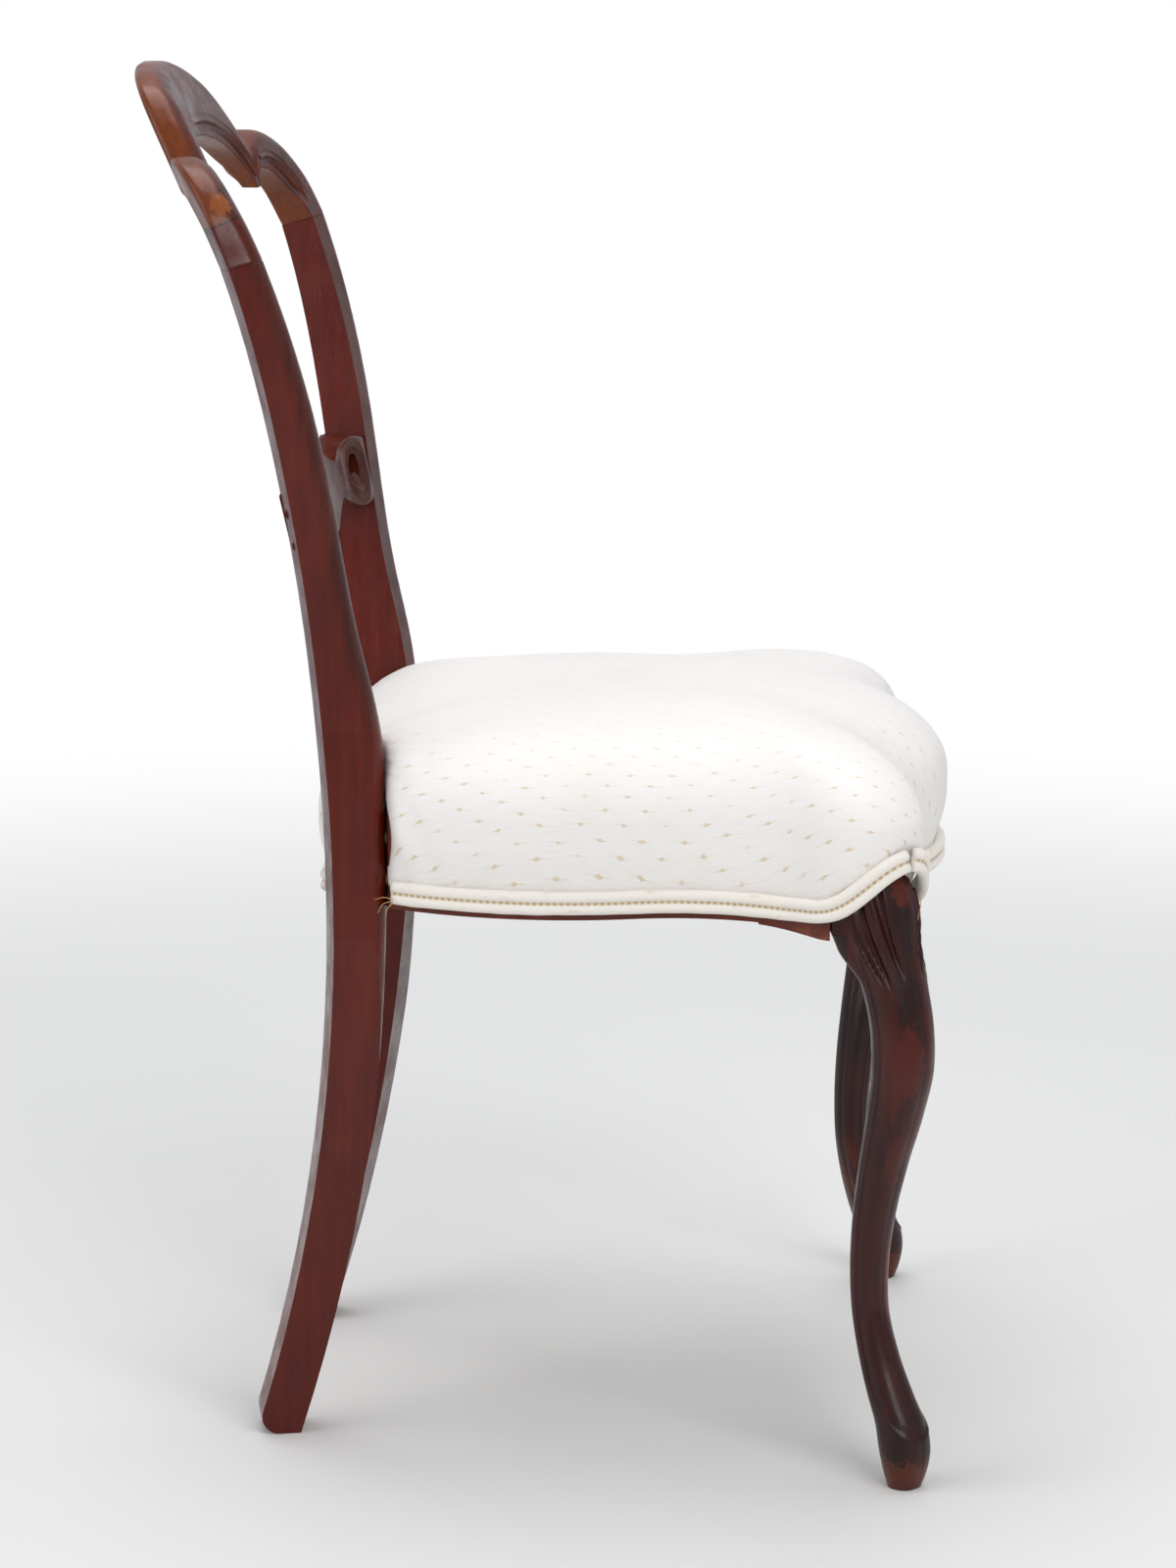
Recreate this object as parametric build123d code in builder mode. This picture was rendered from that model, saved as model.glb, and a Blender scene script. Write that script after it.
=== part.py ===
"""Balloon back chair: a carved wooden side chair with a sprung, stuffed-over seat.

Millimetres, +Z up, front towards -Y, symmetric about X = 0, soles of the feet on Z = 0.
The back is cut from a barrel: every front and back face of the stiles and the crest is a
surface of revolution about one upright axis in front of the chair, and their edges point at
that axis. The cross rail runs straight between the stiles.
"""

import os
from math import cos, hypot, pi, radians, sin, sqrt, tan

from build123d import *

# ------------------------------------------------------------------ driving dimensions
chair_height = 881.0
back_axis_y = -494.0        # upright axis that the curved back is struck from
outline_distance = 600.0    # outlines of the back are drawn this far behind that axis

# rear leg and stile, seen from the front (half widths on the outline plane)
foot_half = 120.0
foot_width = 28.0
block_half = 157.4
block_width = 31.5
block_bottom = 340.0
block_top = 472.0
stile_mid = (171.0, 615.0)
stile_top_half = 194.0
stile_top_width = 30.0
stile_outer_round = 13.0

# rear leg and stile, seen from the side (distance from the back axis, height)
sole_front = 664.5
shin_front = (618.0, 218.0)
block_front = (608.5, 390.0)
stile_start = (609.0, 455.0)
stile_front = [(623.5, 526.0), (645.5, 635.0), (688.3, 771.0)]
crest_front = 737.5
crest_back = (756.0, 876.0)
slab_overrun = 20.0
stile_back = [(727.5, 808.0), (700.0, 732.0), (674.7, 635.0), (655.7, 525.0), (646.8, 430.0)]
calf_back = (644.4, 336.0)
shin_back = (658.0, 158.0)
heel_back = (689.5, 16.0)
sole_back = 677.0

# crest rail, seen from the front on the outline plane
joint_height = 770.0
joint_slope = 14.0
arch_width_points = [(33.0, 879.0), (58.0, 873.0), (76.0, 863.5), (88.0, 849.0), (96.0, 834.0)]
notch = (104.5, 819.0)
shoulder_points = [(118.0, 825.5), (134.0, 829.0), (152.0, 827.0), (172.0, 816.5), (187.5, 796.0)]
opening_top = 833.0
arch_under_points = [(30.0, 831.5), (54.0, 827.0), (77.0, 816.5)]
cusp_start = (90.0, 803.0)
cusp_tip_inner = (95.5, 793.0)
cusp_tip_outer = (102.0, 793.0)
cusp_curl = (106.5, 800.5)
shoulder_under_points = [(118.0, 804.5), (132.0, 803.0), (149.0, 791.5)]
crest_edge_round = 6.0
crest_rear_round = 3.0

# cross rail of the back
cross_rail_height = 601.0
cross_rail_end = 47.0
cross_rail_waist = 27.0
cross_rail_middle = 52.0
cross_rail_depth = 15.0
cross_rail_slope = 0.2
cross_rail_front_y = 142.0
ring_offset = 27.0
ring_hole = (15.0, 20.0)
ring_field = (28.0, 36.0)
ring_sink = 3.0

# seat frame, plan (the seat's edge line; the wood stands inside it)
frame_inset = 2.0
rail_bottom = 358.0
rail_top = 418.0
ear_drop = 5.5
ear_tip = 1.2
ear_length = 44.0
ear_depth = 24.0
front_bulge = (75.0, -238.0, -255.5)
knee_front = (165.0, -231.4)
knee_side = (206.0, -172.0)
side_waist = (180.0, -60.0)
frame_rear_corner = (157.0, 92.0)
frame_back_y = 133.0
frame_back_half = 151.0
side_rail_inner_front = 148.0
side_rail_inner_rear = 131.0
front_rail_inner = (-192.0, -224.0)
back_rail_thickness = 22.0
post_inner = (163.0, -182.0)

# front leg: height, offset along the diagonal from the leg's axis, side of the section
leg_axis = (209.0, -228.0)
front_leg_sections = [
    (0.0, 7.0, 18.5),
    (9.0, 7.5, 23.5),
    (24.0, 7.0, 28.3),
    (40.0, 3.5, 28.3),
    (58.0, -5.5, 26.2),
    (82.0, -16.0, 23.2),
    (110.0, -24.0, 21.0),
    (140.0, -25.5, 21.4),
    (172.0, -22.0, 23.6),
    (207.0, -14.4, 27.0),
    (240.0, -5.5, 31.0),
    (272.0, 0.5, 34.0),
    (300.0, -1.0, 34.6),
    (325.0, -8.0, 36.2),
    (348.0, -17.0, 40.0),
    (372.0, -25.0, 47.0),
    (390.0, -31.0, 45.0),
    (402.0, -38.0, 42.0),
]
leg_section_round = 0.3
post_bottom = 350.0

# seat upholstery: height and inset from the widest line of the cover
cover_stand_off = 8.0
cover_thickness = 1.5
soft_clearance = 0.3
skirt_bottom = 363.0
crown_sections = [(378.0, 7.7), (388.0, 3.0), (402.0, 0.0), (424.0, 0.5),
                  (443.0, 8.0), (456.0, 21.0), (467.0, 42.0), (475.0, 72.0), (480.0, 108.0),
                  (482.5, 150.0)]
pad_edge_height = 385.0
stile_gap = 0.6
welt_cord = 7.0
welt_gap = 0.6
welt_cord_gap = 0.8
welt_bottom = 362.5
knee_climb = 34.0
knee_reach = 42.0

# suspension of the seat
web_width = 50.0
web_thickness = 1.2
web_gap = 0.3
web_lengthwise = [(-92.0, -224.0), (-31.0, -242.0), (31.0, -242.0), (92.0, -224.0)]
web_rear_end = 126.0
web_crosswise = [-148.0, -84.0, -20.0, 44.0]
web_landing = 20.0
tack_spacing = 16.0
tack_setback = 5.0
tack_head = (7.0, 1.0)
tack_shank = (1.6, 10.0)
canvas_height = rail_top + 23.0
canvas_inset = 46.0
canvas_foot_inset = 16.0
canvas_thickness = 1.2
spring_places = [(-72.0, -138.0), (72.0, -138.0), (0.0, -66.0), (-68.0, 8.0), (68.0, 8.0)]
spring_names = ["front_right", "front_left", "centre", "rear_right", "rear_left"]
spring_seat_gap = 0.2
spring_wire = 3.4
spring_end_radius = 36.0
spring_waist_radius = 21.0
spring_half_turns = 13

# joinery
dowel_diameter = 9.0
dowel_depth = 17.0
dowel_end_gap = 0.5
frame_dowel_heights = [375.0, 402.0]
back_dowel_height = 388.0
corner_block_height = 40.0
corner_block_bottom = 372.0
screw_shank = 4.0
screw_head = (8.0, 2.4)
screw_length = 32.0

back_axis = Axis((0, back_axis_y, 0), (0, 0, 1))
seat_mid_y = (frame_back_y + front_bulge[2]) / 2
seat_half_depth = (frame_back_y - front_bulge[2]) / 2
seat_half_width = 187.0

os.makedirs("parts", exist_ok=True)


def save(piece, name):
    """Label a finished piece and write it under its own name."""
    piece.part.label = name
    export_step(piece.part, f"parts/{name}.step")


def save_mirrored(piece, name):
    """The same piece for the other side of the chair."""
    with BuildPart() as other:
        mirror(piece.part, about=Plane.YZ)
    save(other, name)
    return other


def both_sides(places):
    """Points and directions of one side, and the same for the other side."""
    twins = [((-p[0], p[1], p[2]), (-d[0], d[1], d[2])) for p, d in places]
    return places + twins


def rods(places, diameter, behind, ahead, mode=Mode.ADD):
    """Round rods or holes; each place is a point and a direction."""
    for point, direction in places:
        along = Vector(*direction).normalized()
        with BuildSketch(Plane(origin=Vector(*point) - along * behind, z_dir=along)) as spot:
            Circle(diameter / 2)
        extrude(spot.sketch, amount=behind + ahead, mode=mode)


def dowel_holes(places):
    depth = dowel_depth + dowel_end_gap
    rods(places, dowel_diameter, depth, depth, mode=Mode.SUBTRACT)


def screw_holes(places):
    rods(places, screw_shank, 0, screw_length, mode=Mode.SUBTRACT)
    rods(places, screw_head[0], 20, screw_head[1], mode=Mode.SUBTRACT)


def biarc(start, leaving, end, arriving):
    """Two arcs that meet smoothly, from one point and direction to the next."""
    gap = end - start
    both = leaving + arriving
    a = 4 - both.dot(both)
    b = gap.dot(both)
    reach = (sqrt(b * b + a * gap.dot(gap)) - b) / a
    first = start + leaving * reach
    last = end - arriving * reach
    TangentArc(start, (first + last) / 2, tangent=leaving)
    TangentArc((first + last) / 2, end, tangent=last - first)


def tack_holes(places):
    rods(places, tack_shank[0], 0, tack_shank[1], mode=Mode.SUBTRACT)


# ------------------------------------------------------------------ the curved back
half_turned = sqrt(0.5)
slab_plane = Plane(
    origin=(0, back_axis_y, 0),
    x_dir=(half_turned, half_turned, 0),
    z_dir=(half_turned, -half_turned, 0),
)

# side view of the back and rear legs (distance from the axis, height), turned about the axis
with BuildPart() as slab:
    with BuildSketch(slab_plane):
        with BuildLine():
            sole = Line((sole_back, 0), (sole_front, 0))
            ThreePointArc(sole @ 1, shin_front, block_front)
            Line(block_front, stile_start)
            face_top = (crest_front + slab_overrun / 2, chair_height + slab_overrun)
            face = Spline(stile_start, *stile_front, face_top, tangents=[(0.08, 1.0), (0.5, 1.0)])
            back_top = (crest_back[0] + slab_overrun / 2, chair_height + slab_overrun)
            Line(face @ 1, back_top)
            Spline(back_top, crest_back, *stile_back, calf_back,
                   tangents=[(-0.46, -1.0), (0.0, -1.0)])
            calf = ThreePointArc(calf_back, shin_back, heel_back)
            TangentArc(calf @ 1, sole @ 0, tangent=calf % 1)
        make_face()
    revolve(axis=back_axis, revolution_arc=90)


def fan_plane(y):
    """Upright plane facing the front, and the scale of an outline on it."""
    return Plane.XZ.offset(-y), (y - back_axis_y) / outline_distance


fan_near = 60.0
fan_far = 300.0


def rear_leg_outline(k):
    """Front view of one rear leg with its stile; k widens it with the distance."""
    foot_inner = foot_half - foot_width
    block_inner = block_half - block_width
    stile_inner = stile_top_half - stile_top_width
    above = joint_height + 40
    Line((foot_inner * k, -1), (foot_half * k, -1))
    Line((foot_half * k, -1), (block_half * k, block_bottom))
    Line((block_half * k, block_bottom), (block_half * k, block_top))
    Spline((block_half * k, block_top), (stile_mid[0] * k, stile_mid[1]),
           (stile_top_half * k, joint_height), (stile_top_half * k, above),
           tangents=[(0.03, 1.0), (-0.05, 1.0)])
    Line((stile_top_half * k, above), (stile_inner * k, above))
    Spline((stile_inner * k, above), (stile_inner * k, joint_height),
           ((stile_mid[0] - block_width + 1) * k, stile_mid[1]),
           (block_inner * k, block_top), tangents=[(0.05, -1.0), (-0.03, -1.0)])
    Line((block_inner * k, block_top), (block_inner * k, block_bottom))
    Line((block_inner * k, block_bottom), (foot_inner * k, -1))


joint_plane = Plane(
    origin=(0, 161, joint_height),
    x_dir=(1, 0, 0),
    z_dir=(0, sin(radians(joint_slope)), cos(radians(joint_slope))),
)


def on_barrel(half_width, distance, height):
    """Point that lies on an outline's ray, at a distance from the back's axis."""
    ray = distance / hypot(half_width, outline_distance)
    return (half_width * ray, back_axis_y + outline_distance * ray, height)


def on_outline(half_width, y, height):
    """Point that lies on an outline's ray, at a distance along the chair."""
    return (half_width * (y - back_axis_y) / outline_distance, y, height)


def across_barrel(half_width):
    """Level direction square to the ray of a point of the outline."""
    return (outline_distance, -half_width, 0)


# dowels of the back and of the joints between rear legs and seat frame, left side
crest_dowel_x = stile_top_half - stile_top_width / 2
crest_dowel_foot = on_barrel(crest_dowel_x, 700.0, joint_height)
crest_dowel_z = joint_height - (crest_dowel_foot[1] - 161) * tan(radians(joint_slope))
crest_dowel_places = [
    ((crest_dowel_foot[0], crest_dowel_foot[1], crest_dowel_z), tuple(joint_plane.z_dir)),
]
stile_inner_at_rail = 139.0
cross_rail_dowel_places = [
    (on_outline(stile_inner_at_rail,
                cross_rail_front_y + cross_rail_depth / 2 + cross_rail_slope * rise,
                cross_rail_height + rise), (1, 0, 0))
    for rise in (-10, 10)
]
side_rear_dowel_places = [((142, 98, height), (0, 1, 0)) for height in frame_dowel_heights]
back_rail_dowel_places = [
    (on_barrel(block_half - block_width, 629.0, back_dowel_height),
     across_barrel(block_half - block_width)),
]

with BuildPart() as rear_leg_left:
    for y in (fan_near, fan_far):
        plane, k = fan_plane(y)
        with BuildSketch(plane):
            with BuildLine():
                rear_leg_outline(k)
            make_face()
    loft(ruled=True)
    add(slab.part, mode=Mode.INTERSECT)
    split(bisect_by=joint_plane, keep=Keep.BOTTOM)
    long_edges = rear_leg_left.edges().filter_by(lambda edge: edge.length > 250)
    stile_edges = long_edges.filter_by(lambda edge: edge.center().Z > block_top)
    fillet(stile_edges.sort_by(Axis.X)[-2:].sort_by(Axis.Y)[0], radius=stile_outer_round)
    dowel_holes(crest_dowel_places + cross_rail_dowel_places)
    dowel_holes(side_rear_dowel_places + back_rail_dowel_places)
save(rear_leg_left, "rear_leg_left")
rear_leg_right = save_mirrored(rear_leg_left, "rear_leg_right")


def crest_outline(k):
    """Front view of the crest rail: raised arch, two shoulders and pendant cusps."""
    inner = stile_top_half - stile_top_width
    low = joint_height - 30

    def p(point):
        return (point[0] * k, point[1])

    Spline((0, chair_height), *[p(q) for q in arch_width_points], p(notch),
           tangents=[(1.0, 0.0), (0.35, -1.0)])
    Spline(p(notch), *[p(q) for q in shoulder_points], (stile_top_half * k, joint_height),
           tangents=[(1.0, 0.75), (0.0, -1.0)])
    Line((stile_top_half * k, joint_height), (stile_top_half * k, low))
    Line((stile_top_half * k, low), (inner * k, low))
    Line((inner * k, low), (inner * k, joint_height))
    Spline((inner * k, joint_height), *[p(q) for q in reversed(shoulder_under_points)],
           p(cusp_curl), tangents=[(-0.05, 1.0), (-0.9, -0.7)])
    Line(p(cusp_curl), p(cusp_tip_outer))
    Line(p(cusp_tip_outer), p(cusp_tip_inner))
    Line(p(cusp_tip_inner), p(cusp_start))
    Spline(p(cusp_start), *[p(q) for q in reversed(arch_under_points)], (0, opening_top),
           tangents=[(-0.5, 1.0), (-1.0, 0.0)])
    mirror(about=Plane.YZ)


def rim_edges(rail, x_from, x_to):
    """Long upper edges with their middles between two half widths, front ones first."""
    rim = rail.edges().filter_by(lambda edge: edge.length > 60 and edge.center().Z > 815)
    rim = rim.filter_by(lambda edge: x_from < abs(edge.center().X) < x_to)
    return rim.sort_by(Axis.Y)


with BuildPart() as crest_rail:
    for y in (fan_near, fan_far):
        plane, k = fan_plane(y)
        with BuildSketch(plane):
            with BuildLine():
                crest_outline(k)
            make_face()
    loft(ruled=True)
    add(slab.part, mode=Mode.INTERSECT)
    split(bisect_by=joint_plane, keep=Keep.TOP)
    front_rim = rim_edges(crest_rail, 150, 250)[:2] + rim_edges(crest_rail, 65, 150)[:2]
    fillet(front_rim, radius=crest_edge_round)
    rear_rim = rim_edges(crest_rail, 150, 250)[-2:] + rim_edges(crest_rail, 65, 150)[-2:]
    fillet(rear_rim, radius=crest_rear_round)
    dowel_holes(both_sides(crest_dowel_places))
save(crest_rail, "crest_rail")

# side view of the cross rail, which runs straight from stile to stile
with BuildPart() as cross_rail_slab:
    with BuildSketch(Plane.YZ):
        with BuildLine():
            lean = cross_rail_slope * cross_rail_middle
            low = cross_rail_height - cross_rail_middle
            high = cross_rail_height + cross_rail_middle
            Polyline(
                (cross_rail_front_y - lean, low),
                (cross_rail_front_y - lean + cross_rail_depth, low),
                (cross_rail_front_y + lean + cross_rail_depth, high),
                (cross_rail_front_y + lean, high),
                close=True,
            )
        make_face()
    extrude(amount=250, both=True)


def cross_rail_outline(k):
    """Front view of the cross rail: a swelling middle and two round ends."""
    inside_stile = stile_inner_at_rail + 12
    widths = [(36.0, 18.0), (70.0, cross_rail_waist / 2), (92.0, 18.0),
              (stile_inner_at_rail - ring_offset, cross_rail_end / 2), (128.0, 22.0)]
    for side in (1, -1):
        points = [(x * k, cross_rail_height + side * h) for x, h in widths]
        start = (0, cross_rail_height + side * cross_rail_middle / 2)
        end = (inside_stile * k, cross_rail_height + side * 20)
        Spline(start, *points, end, tangents=[(1, 0), (1, -side * 0.1)])
    Line((inside_stile * k, cross_rail_height + 20), (inside_stile * k, cross_rail_height - 20))
    mirror(about=Plane.YZ)


with BuildPart() as mid_rail:
    for y in (fan_near, fan_far):
        plane, k = fan_plane(y)
        with BuildSketch(plane):
            with BuildLine():
                cross_rail_outline(k)
            make_face()
    loft(ruled=True)
    add(cross_rail_slab.part, mode=Mode.INTERSECT)
    add(rear_leg_left.part, mode=Mode.SUBTRACT)
    add(rear_leg_right.part, mode=Mode.SUBTRACT)
    out = Vector(0, -1, cross_rail_slope).normalized()
    for side in (1, -1):
        ring_half = side * (stile_inner_at_rail - ring_offset)
        spot = Vector(*on_outline(ring_half, cross_rail_front_y, cross_rail_height))
        with BuildSketch(Plane(origin=spot + out * 6, x_dir=(1, 0, 0), z_dir=out)):
            Ellipse(ring_field[0] / 2, ring_field[1] / 2)
        extrude(amount=-6 - ring_sink, mode=Mode.SUBTRACT)
        with BuildSketch(Plane(origin=spot + out * 6, x_dir=(1, 0, 0), z_dir=out)):
            Ellipse(ring_hole[0] / 2, ring_hole[1] / 2)
        extrude(amount=-40, mode=Mode.SUBTRACT)
    dowel_holes(both_sides(cross_rail_dowel_places))
save(mid_rail, "mid_rail")


# ------------------------------------------------------------------ seat frame
def seat_point(point, grow):
    """A point of the seat's plan, moved out with the seat's edge line."""
    return (point[0] * (seat_half_width + grow) / seat_half_width,
            seat_mid_y + (point[1] - seat_mid_y) * (seat_half_depth + grow) / seat_half_depth)


def seat_side(grow):
    """Edge line of the seat's left half, from the middle of the front to the rear corner."""
    middle = seat_point((0, front_bulge[2]), grow)
    arc = TangentArc(middle, seat_point(front_bulge[:2], grow), tangent=(1, 0))
    for corner in (knee_front, knee_side, side_waist, frame_rear_corner):
        arc = TangentArc(arc @ 1, seat_point(corner, grow), tangent=arc % 1)


def seat_outline(grow):
    """The seat's whole plan as a closed line."""
    seat_side(grow)
    rear_corner = seat_point((frame_back_half, frame_back_y), grow)
    Line(seat_point(frame_rear_corner, grow), rear_corner)
    Line(rear_corner, (0, rear_corner[1]))
    mirror(about=Plane.YZ)


def seat_plan(height, grow):
    """The seat's plan as a face at one height."""
    with BuildSketch(Plane.XY.offset(height)) as plan:
        with BuildLine():
            seat_outline(grow)
        make_face()
    return plan.sketch


diagonal = Vector(half_turned, -half_turned, 0)
across = Vector(half_turned, half_turned, 0)
knee_plane = Plane(origin=(leg_axis[0], leg_axis[1], 0), x_dir=across, z_dir=diagonal)


def knee_rise(u):
    """How far the seat's lower edge climbs over a knee, at a distance from its middle."""
    reach = min(abs(u) / knee_reach, 1.0)
    return knee_climb * (0.5 + 0.5 * cos(pi * reach))


def knee_arch(spare):
    """Outline of all that stays below the welt at a knee, seen along the diagonal."""
    steps = [step * knee_reach / 3 for step in range(-3, 4)]
    edge = welt_bottom + spare
    Spline(*[(u, edge + knee_rise(u)) for u in steps], tangents=[(1, 0), (1, 0)])
    Polyline((knee_reach, edge), (60, edge), (60, -5), (-60, -5), (-60, edge),
             (-knee_reach, edge))


front_rail_dowel_places = [
    ((post_inner[0], -214, height), (1, 0, 0)) for height in frame_dowel_heights
]
side_front_dowel_places = [
    ((177, post_inner[1], height), (0, 1, 0)) for height in frame_dowel_heights
]

with BuildPart() as front_leg_left:
    for height, outward, side in front_leg_sections:
        centre = Vector(leg_axis[0], leg_axis[1], height) + diagonal * outward
        with BuildSketch(Plane(origin=centre, x_dir=across, z_dir=(0, 0, 1))):
            RectangleRounded(side, side, side * leg_section_round)
    loft()
    with BuildSketch(knee_plane):
        with BuildLine():
            knee_arch(0)
        make_face()
    extrude(amount=70, both=True, mode=Mode.INTERSECT)
    with BuildSketch(Plane.XY.offset(post_bottom)):
        with Locations((post_inner[0] - 60, post_inner[1]), (post_inner[0], post_inner[1] + 60)):
            Rectangle(120, 120)
        with Locations((post_inner[0] + 30, post_inner[1] - 30)):
            Rectangle(60, 60, mode=Mode.SUBTRACT)
    extrude(amount=60, mode=Mode.SUBTRACT)
    with BuildSketch(Plane.XY.offset(post_bottom)):
        with BuildLine():
            seat_outline(-frame_inset)
        make_face()
        with Locations((post_inner[0] + 60, post_inner[1] - 60)):
            Rectangle(120, 120, mode=Mode.INTERSECT)
    extrude(amount=rail_top - post_bottom)
    dowel_holes(front_rail_dowel_places + side_front_dowel_places)
save(front_leg_left, "front_leg_left")
front_leg_right = save_mirrored(front_leg_left, "front_leg_right")


def side_rail_inner(y):
    """Inner face of the left side rail."""
    share = (y - post_inner[1]) / (95 - post_inner[1])
    return side_rail_inner_front + (side_rail_inner_rear - side_rail_inner_front) * share


# webbing tacks at the frame, driven upwards
tack_up = (0, 0, 1)
tack_seat = rail_bottom - web_thickness
front_tack_places = [
    ((x + shift, front_end + tack_setback, tack_seat), tack_up)
    for x, front_end in web_lengthwise for shift in (-tack_spacing, 0, tack_spacing)
]
back_tack_places = [
    ((x + shift, web_rear_end - tack_setback, tack_seat), tack_up)
    for x, front_end in web_lengthwise for shift in (-tack_spacing, 0, tack_spacing)
]
side_tack_places = [
    ((side_rail_inner(y) + web_landing - tack_setback, y + shift, tack_seat), tack_up)
    for y in web_crosswise for shift in (-tack_spacing, 0, tack_spacing)
]

# screws of the corner blocks, left side: point under the head and direction
front_block_screws = [((112, -186, 392), (0, -1, 0)), ((134, -160, 392), (1, 0, 0))]
rear_block_screws = [((96, 91.4, 392), (0, 1, 0)), ((115.6, 72, 392), (1, 0, 0))]
block_screw_places = front_block_screws + rear_block_screws

with BuildPart() as side_rail_left:
    with BuildSketch(Plane.XY.offset(rail_bottom)):
        with BuildLine():
            seat_outline(-frame_inset)
        make_face()
        with BuildLine():
            Polyline((side_rail_inner_front, post_inner[1]), (260, post_inner[1]), (260, 115),
                     (side_rail_inner(115), 115), close=True)
        make_face(mode=Mode.INTERSECT)
    extrude(amount=rail_top - rail_bottom)
    add(slab.part, mode=Mode.SUBTRACT)
    dowel_holes(side_front_dowel_places + side_rear_dowel_places)
    screw_holes(block_screw_places)
    tack_holes(side_tack_places)
save(side_rail_left, "side_rail_left")
save_mirrored(side_rail_left, "side_rail_right")

with BuildPart() as front_rail:
    with BuildSketch(Plane.XY.offset(rail_bottom)):
        with BuildLine():
            seat_outline(-frame_inset)
        make_face()
        with BuildLine():
            ThreePointArc((-post_inner[0], front_rail_inner[0]), (0, front_rail_inner[1]),
                          (post_inner[0], front_rail_inner[0]))
            Polyline((post_inner[0], front_rail_inner[0]), (post_inner[0], -300),
                     (-post_inner[0], -300), (-post_inner[0], front_rail_inner[0]))
        make_face(mode=Mode.INTERSECT)
    extrude(amount=rail_top - rail_bottom)
    dowel_holes(both_sides(front_rail_dowel_places))
    screw_holes(both_sides(front_block_screws))
    tack_holes(front_tack_places)
save(front_rail, "front_rail")

with BuildPart() as back_rail:
    far = seat_point((0, frame_back_y), -frame_inset)[1]
    near = far - back_rail_thickness
    slope = (block_half - block_width) / outline_distance
    with BuildSketch(Plane.XY.offset(rail_bottom)):
        with BuildLine():
            near_half = slope * (near - back_axis_y)
            far_half = slope * (far - back_axis_y)
            Polyline((-near_half, near), (near_half, near), (far_half, far),
                     (-far_half, far), close=True)
        make_face()
    extrude(amount=rail_top - rail_bottom)
    dowel_holes(both_sides(back_rail_dowel_places))
    screw_holes(both_sides(rear_block_screws))
    tack_holes(back_tack_places)
save(back_rail, "back_rail")


def ear_underside():
    """What is carved away below an ear; the leg is at the origin's end of the line."""
    curve = Spline((0, -ear_drop), (ear_length * 0.3, -ear_drop * 0.8),
                   (ear_length, -ear_tip), tangents=[(1, 0), (1, 0.05)])
    Polyline(curve @ 1, (ear_length + 1, -ear_tip), (ear_length + 1, -ear_drop - 5),
             (0, -ear_drop - 5), curve @ 0)


# curved ear pieces glued under the rails beside each front leg
ear_bottom = rail_bottom - ear_drop - 2
with BuildPart() as ear_side_left:
    with BuildSketch(Plane.XY.offset(ear_bottom)):
        with BuildLine():
            seat_outline(-frame_inset)
        make_face()
        with BuildLine():
            rear_y = post_inner[1] + ear_length
            Polyline((204 - ear_depth, post_inner[1]), (260, post_inner[1]), (260, rear_y),
                     (197 - ear_depth, rear_y), close=True)
        make_face(mode=Mode.INTERSECT)
    extrude(amount=rail_bottom - ear_bottom)
    with BuildSketch(Plane(origin=(150, post_inner[1], rail_bottom), x_dir=(0, 1, 0),
                           z_dir=(1, 0, 0))):
        with BuildLine():
            ear_underside()
        make_face()
    extrude(amount=110, mode=Mode.SUBTRACT)
save(ear_side_left, "ear_side_left")
save_mirrored(ear_side_left, "ear_side_right")

with BuildPart() as ear_front_left:
    with BuildSketch(Plane.XY.offset(ear_bottom)):
        with BuildLine():
            seat_outline(-frame_inset)
        make_face()
        with BuildLine():
            inner_x = post_inner[0] - ear_length
            Polyline((post_inner[0], ear_depth - 230), (inner_x, ear_depth - 232),
                     (inner_x, -300), (post_inner[0], -300), close=True)
        make_face(mode=Mode.INTERSECT)
    extrude(amount=rail_bottom - ear_bottom)
    with BuildSketch(Plane(origin=(post_inner[0], -190, rail_bottom), x_dir=(-1, 0, 0),
                           z_dir=(0, 1, 0))):
        with BuildLine():
            ear_underside()
        make_face()
    extrude(amount=-90, mode=Mode.SUBTRACT)
save(ear_front_left, "ear_front_left")
save_mirrored(ear_front_left, "ear_front_right")

with BuildPart() as corner_block_front_left:
    with BuildSketch(Plane.XY.offset(corner_block_bottom)):
        with BuildLine():
            Polyline((98, -224), (170, -224), (170, -170), (152, -128), close=True)
        make_face()
    extrude(amount=corner_block_height)
    add(front_rail.part, mode=Mode.SUBTRACT)
    add(side_rail_left.part, mode=Mode.SUBTRACT)
    add(front_leg_left.part, mode=Mode.SUBTRACT)
    screw_holes(front_block_screws)
    front_block = corner_block_front_left.solids().sort_by(SortBy.VOLUME)[-1]
    add(front_block, mode=Mode.REPLACE)
save(corner_block_front_left, "corner_block_front_left")
save_mirrored(corner_block_front_left, "corner_block_front_right")

with BuildPart() as corner_block_rear_left:
    with BuildSketch(Plane.XY.offset(corner_block_bottom)):
        with BuildLine():
            Polyline((72, 115), (140, 115), (140, 48), close=True)
        make_face()
    extrude(amount=corner_block_height)
    add(back_rail.part, mode=Mode.SUBTRACT)
    add(side_rail_left.part, mode=Mode.SUBTRACT)
    add(rear_leg_left.part, mode=Mode.SUBTRACT)
    screw_holes(rear_block_screws)
    rear_block = corner_block_rear_left.solids().sort_by(SortBy.VOLUME)[-1]
    add(rear_block, mode=Mode.REPLACE)
save(corner_block_rear_left, "corner_block_rear_left")
save_mirrored(corner_block_rear_left, "corner_block_rear_right")

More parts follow.
